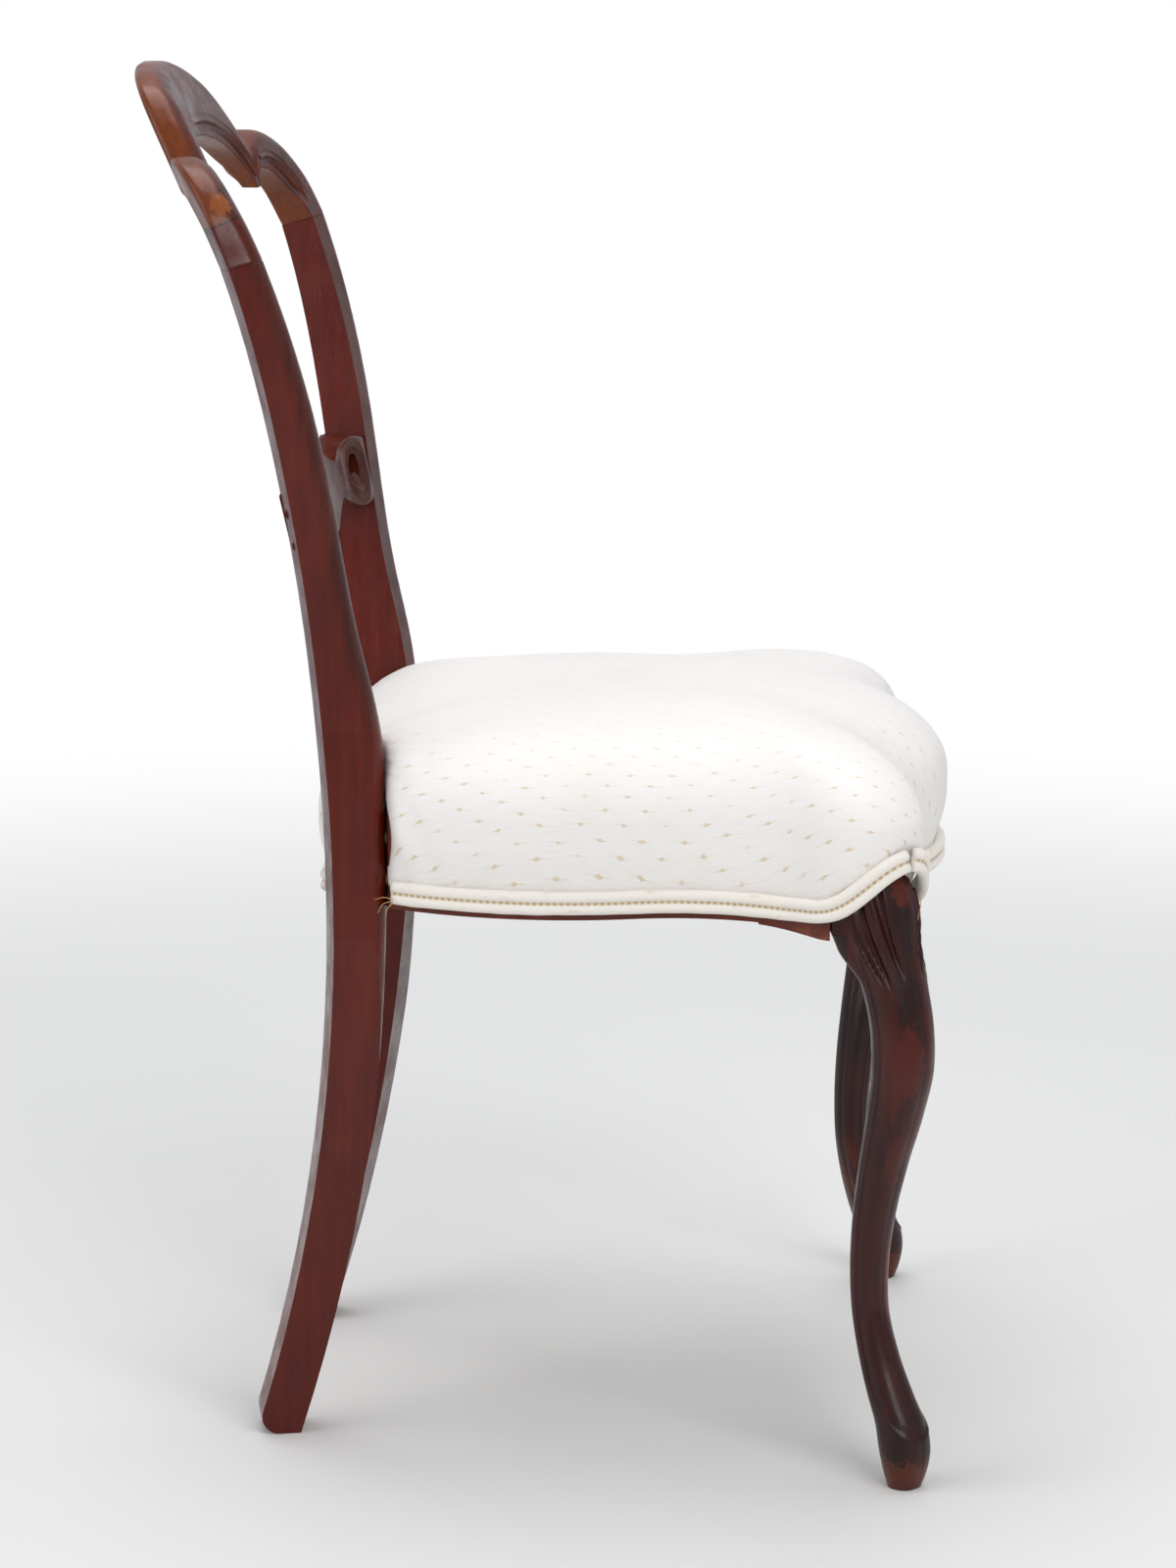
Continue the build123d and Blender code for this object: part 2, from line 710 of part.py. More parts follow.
with BuildPart() as corner_block_screws:
    rods(both_sides(block_screw_places), screw_shank, 0, screw_length)
    rods(both_sides(block_screw_places), screw_head[0], 0, screw_head[1])
    for point, direction in both_sides(block_screw_places):
        along = Vector(*direction)
        with BuildSketch(Plane(origin=point, x_dir=(0, 0, 1), z_dir=along)):
            Rectangle(screw_head[0] + 1, 1.2)
        extrude(amount=1.0, mode=Mode.SUBTRACT)
save(corner_block_screws, "corner_block_screws")


def dowels(places, name):
    """All the dowels of one kind of joint, on both sides of the chair."""
    with BuildPart() as pegs:
        rods(both_sides(places), dowel_diameter, dowel_depth, dowel_depth)
    save(pegs, name)


dowels(crest_dowel_places, "crest_dowels")
dowels(cross_rail_dowel_places, "mid_rail_dowels")
dowels(front_rail_dowel_places + side_front_dowel_places, "front_leg_dowels")
dowels(side_rear_dowel_places + back_rail_dowel_places, "rear_leg_dowels")


# ------------------------------------------------------------------ suspension
def web_profile(start, end, crossings, first_above):
    """Edge view of a woven strip: level where it crosses another, sloping between."""
    step = web_thickness + web_gap
    half = web_width / 2 + 0.5
    line = [(start, 0)]
    for index, crossing in enumerate(crossings):
        above = (index % 2 == 0) == first_above
        level = 0 if above else -step
        line += [(crossing - half, level), (crossing + half, level)]
    line.insert(1, (line[1][0] - 6, 0))
    line += [(line[-1][0] + 6, 0), (end, 0)]
    top = [(s, rail_bottom + h) for s, h in line]
    bottom = [(s, rail_bottom + h - web_thickness) for s, h in reversed(line)]
    Polyline(*top, *bottom, close=True)


long_xs = [x for x, front_end in web_lengthwise]
for index, (x, front_end) in enumerate(web_lengthwise):
    with BuildPart() as strip:
        with BuildSketch(Plane.YZ.offset(x - web_width / 2)):
            with BuildLine():
                web_profile(front_end, web_rear_end, web_crosswise, index % 2 == 0)
            make_face()
        extrude(amount=web_width)
        tack_holes(front_tack_places + back_tack_places)
    save(strip, f"webbing_long_{index + 1}")

for index, y in enumerate(web_crosswise):
    with BuildPart() as strip:
        reach = side_rail_inner(y) + web_landing
        with BuildSketch(Plane.XZ.offset(-y - web_width / 2)):
            with BuildLine():
                web_profile(-reach, reach, long_xs, index % 2 == 1)
            make_face()
        extrude(amount=web_width)
        tack_holes(both_sides(side_tack_places))
    save(strip, f"webbing_cross_{index + 1}")

with BuildPart() as webbing_tacks:
    tacks = front_tack_places + back_tack_places + both_sides(side_tack_places)
    rods(tacks, tack_shank[0], 0, tack_shank[1])
    rods(tacks, tack_head[0], tack_head[1], 0)
save(webbing_tacks, "webbing_tacks")

spring_foot = rail_bottom + spring_seat_gap + spring_wire / 2
spring_head = canvas_height - spring_seat_gap - spring_wire / 2


def spring_at(turned):
    """Point and direction of the double cone spring's centre line, in half turns."""
    share = turned / spring_half_turns
    swell = spring_end_radius - spring_waist_radius
    radius = spring_waist_radius + swell * (2 * share - 1) ** 2
    widening = swell * 4 * (2 * share - 1) / spring_half_turns
    climb = (spring_head - spring_foot) / spring_half_turns
    c = cos(pi * turned)
    s = sin(pi * turned)
    point = Vector(radius * c, radius * s, spring_foot + climb * turned)
    heading = Vector(widening * c - pi * radius * s, widening * s + pi * radius * c, climb)
    return point, heading.normalized()


with BuildPart() as spring_form:
    with BuildLine() as spring_line:
        for turned in range(spring_half_turns):
            biarc(*spring_at(turned), *spring_at(turned + 1))
    start, leaving = spring_at(0)
    with BuildSketch(Plane(origin=start, z_dir=leaving)):
        Circle(spring_wire / 2)
    sweep(path=spring_line.wire())

# least gap of a spring to itself, on points a twentieth of a half turn apart
spring_points = [spring_at(n / 20)[0] for n in range(20 * spring_half_turns + 1)]
spring_gap = min(
    (spring_points[i] - spring_points[j]).length
    for i in range(len(spring_points)) for j in range(i + 20, len(spring_points))
) - spring_wire
print("least gap of a seat spring to itself:", round(spring_gap, 2), "mm")

for (x, y), place in zip(spring_places, spring_names):
    with BuildPart() as seat_spring:
        with Locations((x, y, 0)):
            add(spring_form.part)
    save(seat_spring, f"seat_spring_{place}")


# ------------------------------------------------------------------ upholstery
# room that the stiles take in the upholstery, open towards the back
with BuildPart() as stile_pocket:
    inner = (block_half - block_width - stile_gap) / outline_distance
    outer = 185.0 / outline_distance
    near = block_front[0] - stile_gap
    far = 665.0
    with BuildSketch(Plane.XY.offset(rail_bottom - 8)):
        with BuildLine():
            rim_points = []
            for slope, distance in ((inner, near), (outer, near), (outer, far), (inner, far)):
                ray = distance / hypot(slope, 1)
                rim_points.append((slope * ray, back_axis_y + ray))
            middle = near / hypot((inner + outer) / 2, 1)
            ThreePointArc(rim_points[0], ((inner + outer) / 2 * middle, back_axis_y + middle),
                          rim_points[1])
            Polyline(*rim_points[1:], rim_points[0])
        make_face()
        mirror(about=Plane.YZ)
    extrude(amount=140)


def canvas_form(grow):
    """Low mound over the springs, from the tops of the rails."""
    foot = seat_plan(rail_top, grow - canvas_foot_inset)
    top = seat_plan(canvas_height + canvas_thickness + grow, grow - canvas_inset)
    loft([foot, top], ruled=True)


with BuildPart() as canvas_room:
    canvas_form(soft_clearance)

with BuildPart() as canvas_hollow:
    foot = seat_plan(rail_top - 1, -canvas_foot_inset - canvas_thickness)
    top = seat_plan(canvas_height, -canvas_inset - canvas_thickness)
    loft([foot, top], ruled=True)

with BuildPart() as spring_canvas:
    canvas_form(0)
    add(canvas_hollow.part, mode=Mode.SUBTRACT)
    add(stile_pocket.part, mode=Mode.SUBTRACT)
save(spring_canvas, "spring_canvas")


def crown(shrink):
    """Crowned form of the seat, smaller by a layer."""
    loft([seat_plan(height - shrink, cover_stand_off - inset - shrink)
          for height, inset in crown_sections])
    foot, inset = crown_sections[0]
    skirt = seat_plan(skirt_bottom - shrink, cover_stand_off - inset - shrink)
    extrude(skirt, amount=foot - skirt_bottom)


def cut_round_wood():
    """Clear the stiles and the knees out of a soft form."""
    add(stile_pocket.part, mode=Mode.SUBTRACT)
    for side in (1, -1):
        plane = Plane(
            origin=(side * leg_axis[0], leg_axis[1], 0),
            x_dir=(half_turned, side * half_turned, 0),
            z_dir=(side * half_turned, -half_turned, 0),
        )
        with BuildSketch(plane) as arch:
            with BuildLine():
                knee_arch(soft_clearance)
            make_face()
        extrude(arch.sketch, amount=75, both=True, mode=Mode.SUBTRACT)


with BuildPart() as cover_hollow:
    crown(cover_thickness)

with BuildPart() as frame_room:
    room_plan = seat_plan(rail_bottom - 10, soft_clearance - frame_inset)
    extrude(room_plan, amount=rail_top + soft_clearance - rail_bottom + 10)

with BuildPart() as seat_stuffing:
    crown(cover_thickness + soft_clearance)
    add(frame_room.part, mode=Mode.SUBTRACT)
    add(canvas_room.part, mode=Mode.SUBTRACT)
    cut_round_wood()
    split(bisect_by=Plane.XY.offset(pad_edge_height), keep=Keep.TOP)
save(seat_stuffing, "seat_stuffing")

with BuildPart() as seat_cover:
    crown(0)
    add(cover_hollow.part, mode=Mode.SUBTRACT)
    cut_round_wood()
save(seat_cover, "seat_cover")

# double welt along the seat's lower edge
with BuildLine() as edge_line:
    seat_side(0)
edge_wire = edge_line.wire()
welt_low_out = cover_stand_off - crown_sections[0][1] + welt_cord / 2 + welt_gap
welt_high_out = cover_stand_off + welt_cord / 2 + welt_gap


def diagonal_place(point):
    return (abs(point.X) - leg_axis[0] + point.Y - leg_axis[1]) * half_turned


def welt_foot(t):
    """Point at the welt's lower edge; t runs over the left half, its negative the right."""
    point = edge_wire @ abs(t)
    heading = edge_wire % abs(t)
    rise = knee_rise(diagonal_place(point))
    out = welt_low_out + (welt_high_out - welt_low_out) * rise / knee_climb
    moved = point + Vector(heading.Y, -heading.X, 0) * out
    side = 1 if t >= 0 else -1
    return Vector(side * moved.X, moved.Y, welt_bottom + 0.3 + rise)


def cord_at(t, raised):
    """Point and direction of a cord's centre line, raised square to the welt's run."""
    run = welt_foot(t + 0.002) - welt_foot(t - 0.002)
    level = hypot(run.X, run.Y)
    up = Vector(-run.X * run.Z / level, -run.Y * run.Z / level, level).normalized()
    return welt_foot(t) + up * raised, run.normalized()


def welt(stations, name):
    """Two cords lying on each other, through stations along the seat's edge."""
    with BuildPart() as cords:
        for raised in (welt_cord / 2, welt_cord * 1.5 + welt_cord_gap):
            with BuildLine() as route:
                for near, far in zip(stations, stations[1:]):
                    biarc(*cord_at(near, raised), *cord_at(far, raised))
            cord = route.wire()
            with BuildSketch(Plane(origin=cord @ 0, z_dir=cord % 0)):
                Circle(welt_cord / 2)
            sweep(path=cord)
    save(cords, name)
    return cords


corner_t = min((n / 400 for n in range(400)), key=lambda t: abs(diagonal_place(edge_wire @ t)))
half_front = [corner_t - 0.002, 0.35, 0.31, 0.24, 0.16, 0.08]
side_run = [corner_t + 0.002, 0.43, 0.475, 0.53, 0.6, 0.68, 0.77, 0.87, 0.985]
welt([-t for t in half_front] + [0.0] + half_front[::-1], "welt_front")
welt_left = welt(side_run, "welt_left")
save_mirrored(welt_left, "welt_right")

with BuildPart() as welt_back:
    rear = seat_point((0, frame_back_y), welt_low_out)[1]
    for raised in (welt_cord / 2, welt_cord * 1.5 + welt_cord_gap):
        with BuildSketch(Plane.YZ.offset(-126)):
            with Locations((rear, welt_bottom + 0.3 + raised)):
                Circle(welt_cord / 2)
        extrude(amount=252)
save(welt_back, "welt_back")
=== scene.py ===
from math import cos, pi, radians, sin, sqrt

import bpy
import numpy as np
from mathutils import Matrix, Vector, noise
from mathutils.bvhtree import BVHTree


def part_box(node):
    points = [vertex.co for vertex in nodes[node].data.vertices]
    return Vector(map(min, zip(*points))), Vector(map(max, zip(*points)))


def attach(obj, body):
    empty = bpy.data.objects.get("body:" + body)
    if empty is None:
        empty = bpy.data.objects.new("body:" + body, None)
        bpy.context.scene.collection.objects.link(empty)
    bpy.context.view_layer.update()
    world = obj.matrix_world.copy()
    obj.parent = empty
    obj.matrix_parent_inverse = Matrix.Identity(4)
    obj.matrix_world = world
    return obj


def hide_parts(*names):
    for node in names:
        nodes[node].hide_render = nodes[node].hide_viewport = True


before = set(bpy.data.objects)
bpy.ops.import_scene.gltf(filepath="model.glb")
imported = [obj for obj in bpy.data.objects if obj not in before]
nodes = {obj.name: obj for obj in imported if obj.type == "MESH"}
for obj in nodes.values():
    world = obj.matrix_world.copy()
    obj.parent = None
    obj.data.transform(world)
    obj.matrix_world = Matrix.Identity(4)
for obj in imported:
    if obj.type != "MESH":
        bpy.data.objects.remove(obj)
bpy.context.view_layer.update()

scene = bpy.context.scene

# lengths of the model are in millimetres and turned into metres where a mesh is made
mm = 0.001
seat_centre_y = -61.25
leg_axis = (209.0, -228.0)
knee_lift = 34.0
hem_height = 362.8
# insets count from the cover's widest line: the seat's line, and the seat's middle
line_inset = 8.0
cover_reach = 198.0
# between these heights the cover's side is pressed together over the knees
side_low = 363.0
side_high = 430.0
# a front leg's post: its inner faces, its ends, and how far it lies inside the seat's line
post_x = 163.2
post_y = -182.2
post_low = 356.5
post_high = 418.0
post_inset = 2.0
# the ears start at this height
ear_height = 322
# the back is bent about this axis, and its outlines are half widths this far from it
back_axis_y = -494.0
outline_distance = 600.0


# ---- small helpers
def curve(knots, places):
    """Points of a smooth line through knots, at shares of its length."""
    knots = np.array(knots, float)
    gaps = np.linalg.norm(np.diff(knots, axis=0), axis=1)
    run = np.concatenate([[0.0], np.cumsum(gaps)])
    slope = np.gradient(knots, run, axis=0)
    at = np.clip(np.asarray(places, float), 0, 1) * run[-1]
    i = np.clip(np.searchsorted(run, at, side="right") - 1, 0, len(knots) - 2)
    gap = (run[i + 1] - run[i])[:, None]
    t = (at - run[i])[:, None] / gap
    near = (2 * t**3 - 3 * t**2 + 1) * knots[i] + (t**3 - 2 * t**2 + t) * gap * slope[i]
    far = (3 * t**2 - 2 * t**3) * knots[i + 1] + (t**3 - t**2) * gap * slope[i + 1]
    return near + far


def smoothstep(low, high, value):
    t = np.clip((value - low) / (high - low), 0, 1)
    return t * t * (3 - 2 * t)


def placed(name, data):
    obj = bpy.data.objects.new(name, data)
    scene.collection.objects.link(obj)
    return obj


def piece(name, points, faces, material):
    """A mesh object of the chair, from points in millimetres."""
    mesh = bpy.data.meshes.new(name)
    mesh.from_pydata((np.array(points, float) * mm).tolist(), [], faces)
    mesh.polygons.foreach_set("use_smooth", [True] * len(mesh.polygons))
    mesh.materials.append(material)
    obj = placed(name, mesh)
    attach(obj, "root")
    return obj


def bands(rings, around, first=0, closed=True):
    """Faces between rings of points that follow each other."""
    faces = []
    for ring in range(rings - 1):
        for k in range(around if closed else around - 1):
            a = first + ring * around + k
            b = first + ring * around + (k + 1) % around
            faces.append((a, b, b + around, a + around))
    return faces


def caps(rings, around):
    """The two end faces of a run of rings."""
    last = around * (rings - 1)
    return [tuple(range(around))[::-1], tuple(range(last, last + around))]


def flat_map(obj, place):
    """The cloth's own map, in metres, from a function of a point's number."""
    layer = obj.data.uv_layers.new(name="cloth")
    for loop in obj.data.loops:
        layer.data[loop.index].uv = place(loop.vertex_index)


def crisp(obj, count):
    """Flat shading for a piece's last faces."""
    for polygon in obj.data.polygons[-count:]:
        polygon.use_smooth = False


def thicken(obj, thickness):
    thick = obj.modifiers.new("Thick", "SOLIDIFY")
    thick.thickness = thickness
    thick.offset = 0.0


def mirrored(points):
    return np.array(points) * (-1, 1, 1)


def flipped(faces):
    return [tuple(reversed(face)) for face in faces]


# ---- materials
class Nodes:
    """Helpers that add shader nodes to a tree; most give back an output."""

    def __init__(self, tree):
        self.tree = tree

    def node(self, kind, inputs=None, output=0, **settings):
        node = self.tree.nodes.new("ShaderNode" + kind)
        for key, value in settings.items():
            setattr(node, key, value)
        for key, value in (inputs or {}).items():
            self.put(node.inputs[key], value)
        return node.outputs[output]

    def put(self, socket, value):
        if isinstance(value, bpy.types.NodeSocket):
            self.tree.links.new(value, socket)
        else:
            socket.default_value = value

    def parts(self, vector):
        node = self.tree.nodes.new("ShaderNodeSeparateXYZ")
        self.put(node.inputs[0], vector)
        return node.outputs

    def scaled(self, vector, scale):
        return self.node("Mapping", {"Vector": vector, "Scale": scale})

    def noise(self, vector, scale, detail=3.0, rough=0.5):
        return self.node("TexNoise", {"Vector": vector, "Scale": scale, "Detail": detail,
                                      "Roughness": rough})

    def span(self, value, low, high, to_low=0.0, to_high=1.0):
        """A value carried smoothly from one span to another."""
        return self.node("MapRange", {"Value": value, "From Min": low, "From Max": high,
                                      "To Min": to_low, "To Max": to_high},
                         interpolation_type="SMOOTHSTEP")

    def math(self, operation, a, b=0.0):
        return self.node("Math", {0: a, 1: b}, operation=operation)

    def vector_math(self, operation, a, b=(0, 0, 0), c=(0, 0, 0)):
        """Vector maths; a length or a dot product comes out as a number."""
        output = 1 if operation in ("LENGTH", "DOT_PRODUCT") else 0
        return self.node("VectorMath", {0: a, 1: b, 2: c}, output, operation=operation)

    def plus(self, a, b):
        return self.math("ADD", a, b)

    def minus(self, a, b):
        return self.math("SUBTRACT", a, b)

    def times(self, a, b):
        return self.math("MULTIPLY", a, b)

    def mix(self, share, a, b):
        node = self.tree.nodes.new("ShaderNodeMix")
        node.data_type = "RGBA"
        self.put(node.inputs["Factor"], share)
        self.put(node.inputs["A"], a)
        self.put(node.inputs["B"], b)
        return node.outputs["Result"]

    def bump(self, height, distance, strength=1.0, below=None):
        inputs = {"Height": height, "Distance": distance, "Strength": strength}
        if below is not None:
            inputs["Normal"] = below
        return self.node("Bump", inputs)


class Finish(Nodes):
    """A procedural material; spot is a place of the chair, in metres."""

    def __init__(self, name):
        self.material = bpy.data.materials.new(name)
        self.material.use_nodes = True
        super().__init__(self.material.node_tree)
        self.shader = self.tree.nodes["Principled BSDF"]
        self.spot = self.node("TexCoord", output="Object")

    def surface(self, **values):
        """Set or link the shader's sockets, and give back the material."""
        for key, value in values.items():
            self.put(self.shader.inputs[key.replace("_", " ")], value)
        return self.material

    def stretched(self, along, share):
        """Spot, drawn out along one axis."""
        return self.scaled(self.spot, [share if axis == along else 1.0 for axis in "XYZ"])


def colour(r, g, b):
    """Linear colour of an sRGB one."""
    return tuple(((c / 255 + 0.055) / 1.055) ** 2.4 if c > 10 else c / 3294.6
                 for c in (r, g, b)) + (1.0,)


def shade(tone, *shares):
    """A darker tone: one share for all its parts, or one for each."""
    shares = shares if len(shares) == 3 else shares * 3
    return tuple(part * share for part, share in zip(tone, shares)) + (1.0,)


def patch_mask(f, centre, reach, ragged=1.75):
    """1 inside a ragged spot about a place of the chair, in millimetres."""
    off = f.vector_math("SUBTRACT", f.spot, [c * mm for c in centre])
    away = f.vector_math("LENGTH", f.scaled(off, [1 / (r * mm) for r in reach]))
    rough = f.minus(f.noise(f.spot, 260.0, 4.0, 0.65), 0.5)
    return f.span(f.plus(away, f.times(rough, ragged)), 1.08, 0.92)


def polished_wood(name, along, dark, middle, worn, wear, gloss=0.3, patches=(), lit_side_tint=None,
                  low_tint=None, splice=None):
    """Old polished mahogany; along is the axis that the grain runs on.

    The side tint is painted light: a warmer tone for the faces that don't look forwards, where
    the light falls differently than on the front faces. low_tint is a height and the tone below
    it, and patches are places, reaches and tones of spots where the polish is worn.
    splice is an old repair on the chair's right: a plane, and the tone below its dark line.
    """
    f = Finish(name)
    grain_spot = f.stretched(along, 0.06)
    warp = f.noise(f.spot, 7.0, 2.0)
    grain = f.noise(grain_spot, 150.0, 5.0, 0.6)
    fine = f.noise(grain_spot, 900.0, 3.0, 0.6)
    broad = f.noise(f.scaled(f.spot, (1.0, 1.0, 0.6)), 16.0, 3.0)
    tone = f.plus(f.times(grain, 0.65), f.times(broad, 0.45))
    contrast = f.span(tone, 0.3, 0.8)
    base = f.mix(contrast, dark, middle)
    # painted light: faces that don't look forwards are mixed towards the warmer side tone
    if lit_side_tint:
        side_light = f.span(f.parts(f.node("NewGeometry", output=1))[1], -0.75, -0.2)
        base = f.mix(side_light, base, f.mix(contrast, shade(lit_side_tint, 0.55), lit_side_tint))
    if low_tint:
        level, tint = low_tint[0] * mm, low_tint[1]
        edge = f.plus(f.parts(f.spot)[2], f.times(grain, 0.0016))
        below = f.span(edge, level + 0.0016, level + 0.0004)
        base = f.mix(f.times(below, 0.8), base, f.mix(contrast, shade(tint, 0.55), tint))
    streaks = f.noise(grain_spot, 70.0, 4.0, 0.65)
    patch = f.times(f.span(streaks, 0.46, 0.66), f.span(warp, 0.5, 0.68))
    base = f.mix(f.times(patch, wear), base, worn)
    pores = f.span(fine, 0.56, 0.72)
    base = f.mix(f.times(pores, 0.22), base, shade(dark, 0.4))
    if splice:
        normal, distance, tint = splice
        over = f.minus(f.vector_math("DOT_PRODUCT", f.spot, normal), distance * mm)
        near = f.span(f.parts(f.spot)[0], -0.14, -0.16)
        below = f.times(near, f.span(over, 0.0003, -0.0003))
        base = f.mix(below, base, f.mix(tone, shade(tint, 0.5), tint))
        line = f.times(near, f.span(f.math("ABSOLUTE", over), 0.0006, 0.0003))
        base = f.mix(line, base, (0.006, 0.003, 0.002, 1.0))
    for centre, reach, tint in patches:
        base = f.mix(patch_mask(f, centre, reach), base, tint)
    rough = f.span(f.noise(f.spot, 38.0, 4.0, 0.6), 0.3, 0.72, gloss - 0.04, gloss + 0.2)
    height = f.minus(f.times(grain, 0.3), f.times(pores, 0.4))
    below = f.bump(f.noise(f.spot, 45.0, 2.0), 0.0005, 0.25)
    return f.surface(Base_Color=base, Roughness=rough, Coat_Weight=0.14, Coat_Roughness=0.1,
                     Specular_IOR_Level=0.24, Normal=f.bump(height, 0.0004, 0.4, below))


def bare_wood(name, along, light, dark):
    """Unpolished beech with its short dark flecks."""
    f = Finish(name)
    grain = f.noise(f.stretched(along, 0.07), 160.0, 4.0, 0.6)
    flecks = f.span(f.noise(f.stretched(along, 0.07**0.6), 480.0, 2.0), 0.62, 0.7)
    stain = f.span(f.noise(f.spot, 14.0, 3.0), 0.5, 0.75)
    base = f.mix(grain, light, dark)
    base = f.mix(f.times(flecks, 0.5), base, shade(dark, 0.5, 0.45, 0.4))
    base = f.mix(f.times(stain, 0.45), base, shade(dark, 0.4, 0.32, 0.25))
    return f.surface(Base_Color=base, Roughness=f.span(grain, 0.2, 0.8, 0.6, 0.8),
                     Normal=f.bump(f.plus(grain, flecks), 0.0004, 0.4))


def metal(name, clean, aged, scale, low, high):
    """Dull metal with spots of age."""
    f = Finish(name)
    age = f.span(f.noise(f.spot, scale, 4.0, 0.65), 0.42, 0.66)
    return f.surface(Base_Color=f.mix(age, clean, aged), Roughness=f.span(age, 0, 1, low, high),
                     Metallic=f.span(age, 0, 1, 0.95, 0.4),
                     Normal=f.bump(f.noise(f.spot, 1400.0, 2.0), 0.0001, 0.4))


def woven(name, light, dark, pitch, stripes=None):
    """Plain woven jute; stripes are dark lines: their way from the middle, and half width."""
    f = Finish(name)
    place = f.node("UVMap", uv_map="cloth")
    wobble = f.times(f.noise(place, 160.0, 2.0), 4.0)
    along, across = f.parts(place)[:2]
    ways = [f.math("SINE", f.plus(f.times(way, 2 * pi / pitch), wobble))
            for way in (along, across)]
    threads = f.span(f.times(*ways), -0.9, 0.9)
    slub = f.noise(f.scaled(place, (1.0, 12.0, 1.0)), 90.0, 3.0)
    base = f.mix(f.times(f.plus(threads, slub), 0.5), dark, light)
    if stripes:
        middle, half = stripes
        away = f.math("ABSOLUTE", f.minus(f.math("ABSOLUTE", across), middle))
        base = f.mix(f.span(away, half, half * 0.7), base, (0.03, 0.026, 0.022, 1))
    soil = f.span(f.noise(f.spot, 9.0, 3.0), 0.45, 0.75)
    base = f.mix(f.times(soil, 0.4), base, shade(dark, 0.5))
    return f.surface(Base_Color=base, Roughness=f.span(slub, 0.2, 0.8, 0.8, 0.95),
                     Sheen_Weight=0.15, Normal=f.bump(threads, 0.0007, 0.7))


def sateen(name):
    """Ivory sateen with small gold dashes woven in, on a staggered lattice."""
    f = Finish(name)
    place = f.node("UVMap", uv_map="cloth")
    drift = f.node("TexNoise", {"Vector": place, "Scale": 60.0, "Detail": 2.0}, output=1)
    drift = f.vector_math("MULTIPLY_ADD", drift, (6, 6, 6), (-3, -3, -3))
    spot = f.vector_math("MULTIPLY_ADD", place, (1000, 1000, 1000), drift)
    # steps of the lattice of dashes, in mm
    a = (26.0, -2.0)
    b = (12.0, 9.5)
    area = a[0] * b[1] - a[1] * b[0]
    parts = []
    cells = []
    for ways in ((b[1] / area, -b[0] / area, 0.0), (-a[1] / area, a[0] / area, 0.0)):
        count = f.vector_math("DOT_PRODUCT", spot, ways)
        cells.append(f.math("ROUND", count))
        parts.append(f.minus(count, cells[-1]))
    along, over = [f.math("ABSOLUTE", f.plus(f.times(parts[0], a[n]), f.times(parts[1], b[n])))
                   for n in (0, 1)]
    cell = f.node("CombineXYZ", {0: cells[0], 1: cells[1]})
    chance = f.node("TexWhiteNoise", {"Vector": cell})
    reach = f.span(chance, 0, 1, 2.3, 3.2)
    bar = f.plus(f.math("DIVIDE", along, reach), f.math("DIVIDE", over, 1.5))
    threads = f.noise(f.scaled(place, (60.0, 1600.0, 1.0)), 1.0, 3.0, 0.6)
    dash = f.span(f.plus(bar, f.times(f.minus(threads, 0.5), 0.7)), 1.12, 0.72)
    tail = f.times(f.span(along, 9.5, 4.0), f.span(over, 0.7, 0.2))
    # painted light: the dashes grow paler towards the seat's top, washed out there by bright
    # light; each dash also gets a strength of its own by chance
    glare_fade = f.span(f.parts(f.spot)[2], 0.476, 0.435, 0.35, 1.0)
    faint_and_glare = f.times(glare_fade, f.span(chance, 0.0, 0.5, 0.5, 1.0))
    ink = f.math("MAXIMUM", f.times(dash, 0.7), f.times(tail, 0.25))
    cloth = f.mix(threads, colour(224, 219, 214), colour(243, 240, 237))
    soil = f.span(f.noise(f.spot, 11.0, 4.0), 0.5, 0.8)
    cloth = f.mix(f.times(soil, 0.15), cloth, colour(204, 190, 170))
    base = f.mix(f.times(ink, faint_and_glare), cloth, colour(208, 186, 150))
    height = f.plus(f.times(threads, 0.8), f.times(dash, 0.5))
    return f.surface(Base_Color=base, Roughness=f.span(threads, 0.3, 0.7, 0.5, 0.66),
                     Sheen_Weight=0.15, Sheen_Roughness=0.5, Specular_IOR_Level=0.35,
                     Normal=f.bump(height, 0.0004, 0.55))


def spun(name):
    """Loose gold thread."""
    f = Finish(name)
    ply = f.noise(f.spot, 1500.0, 2.0)
    return f.surface(Base_Color=f.mix(ply, colour(150, 116, 62), colour(206, 172, 112)),
                     Roughness=f.span(ply, 0.2, 0.8, 0.5, 0.8), Normal=f.bump(ply, 0.0002, 0.5))


def welt_cloth(name):
    """Cloth of the double welt, with the tan stitched seam between its cords."""
    f = Finish(name)
    place = f.node("UVMap", uv_map="cloth")
    along, across = f.parts(place)[:2]
    threads = f.noise(f.scaled(place, (900.0, 120.0, 1.0)), 1.0, 3.0, 0.6)
    spots = f.span(f.noise(f.scaled(place, (70.0, 9.0, 1.0)), 1.0, 3.0), 0.6, 0.72)
    stitch = f.math("SINE", f.times(along, 2 * pi / 0.0042))
    seam = f.span(f.math("ABSOLUTE", f.minus(across, 0.5)), 0.05, 0.022)
    base = f.mix(threads, colour(220, 213, 202), colour(243, 238, 230))
    base = f.mix(f.times(spots, 0.35), base, colour(204, 180, 142))
    tan = f.mix(f.span(stitch, -0.6, 0.6), colour(164, 136, 98), colour(214, 192, 154))
    base = f.mix(f.times(seam, 0.8), base, tan)
    height = f.plus(f.times(threads, 0.6), f.times(f.times(stitch, seam), 0.6))
    return f.surface(Base_Color=base, Roughness=f.span(threads, 0.3, 0.7, 0.62, 0.8),
                     Sheen_Weight=0.2, Normal=f.bump(height, 0.0004, 0.5))


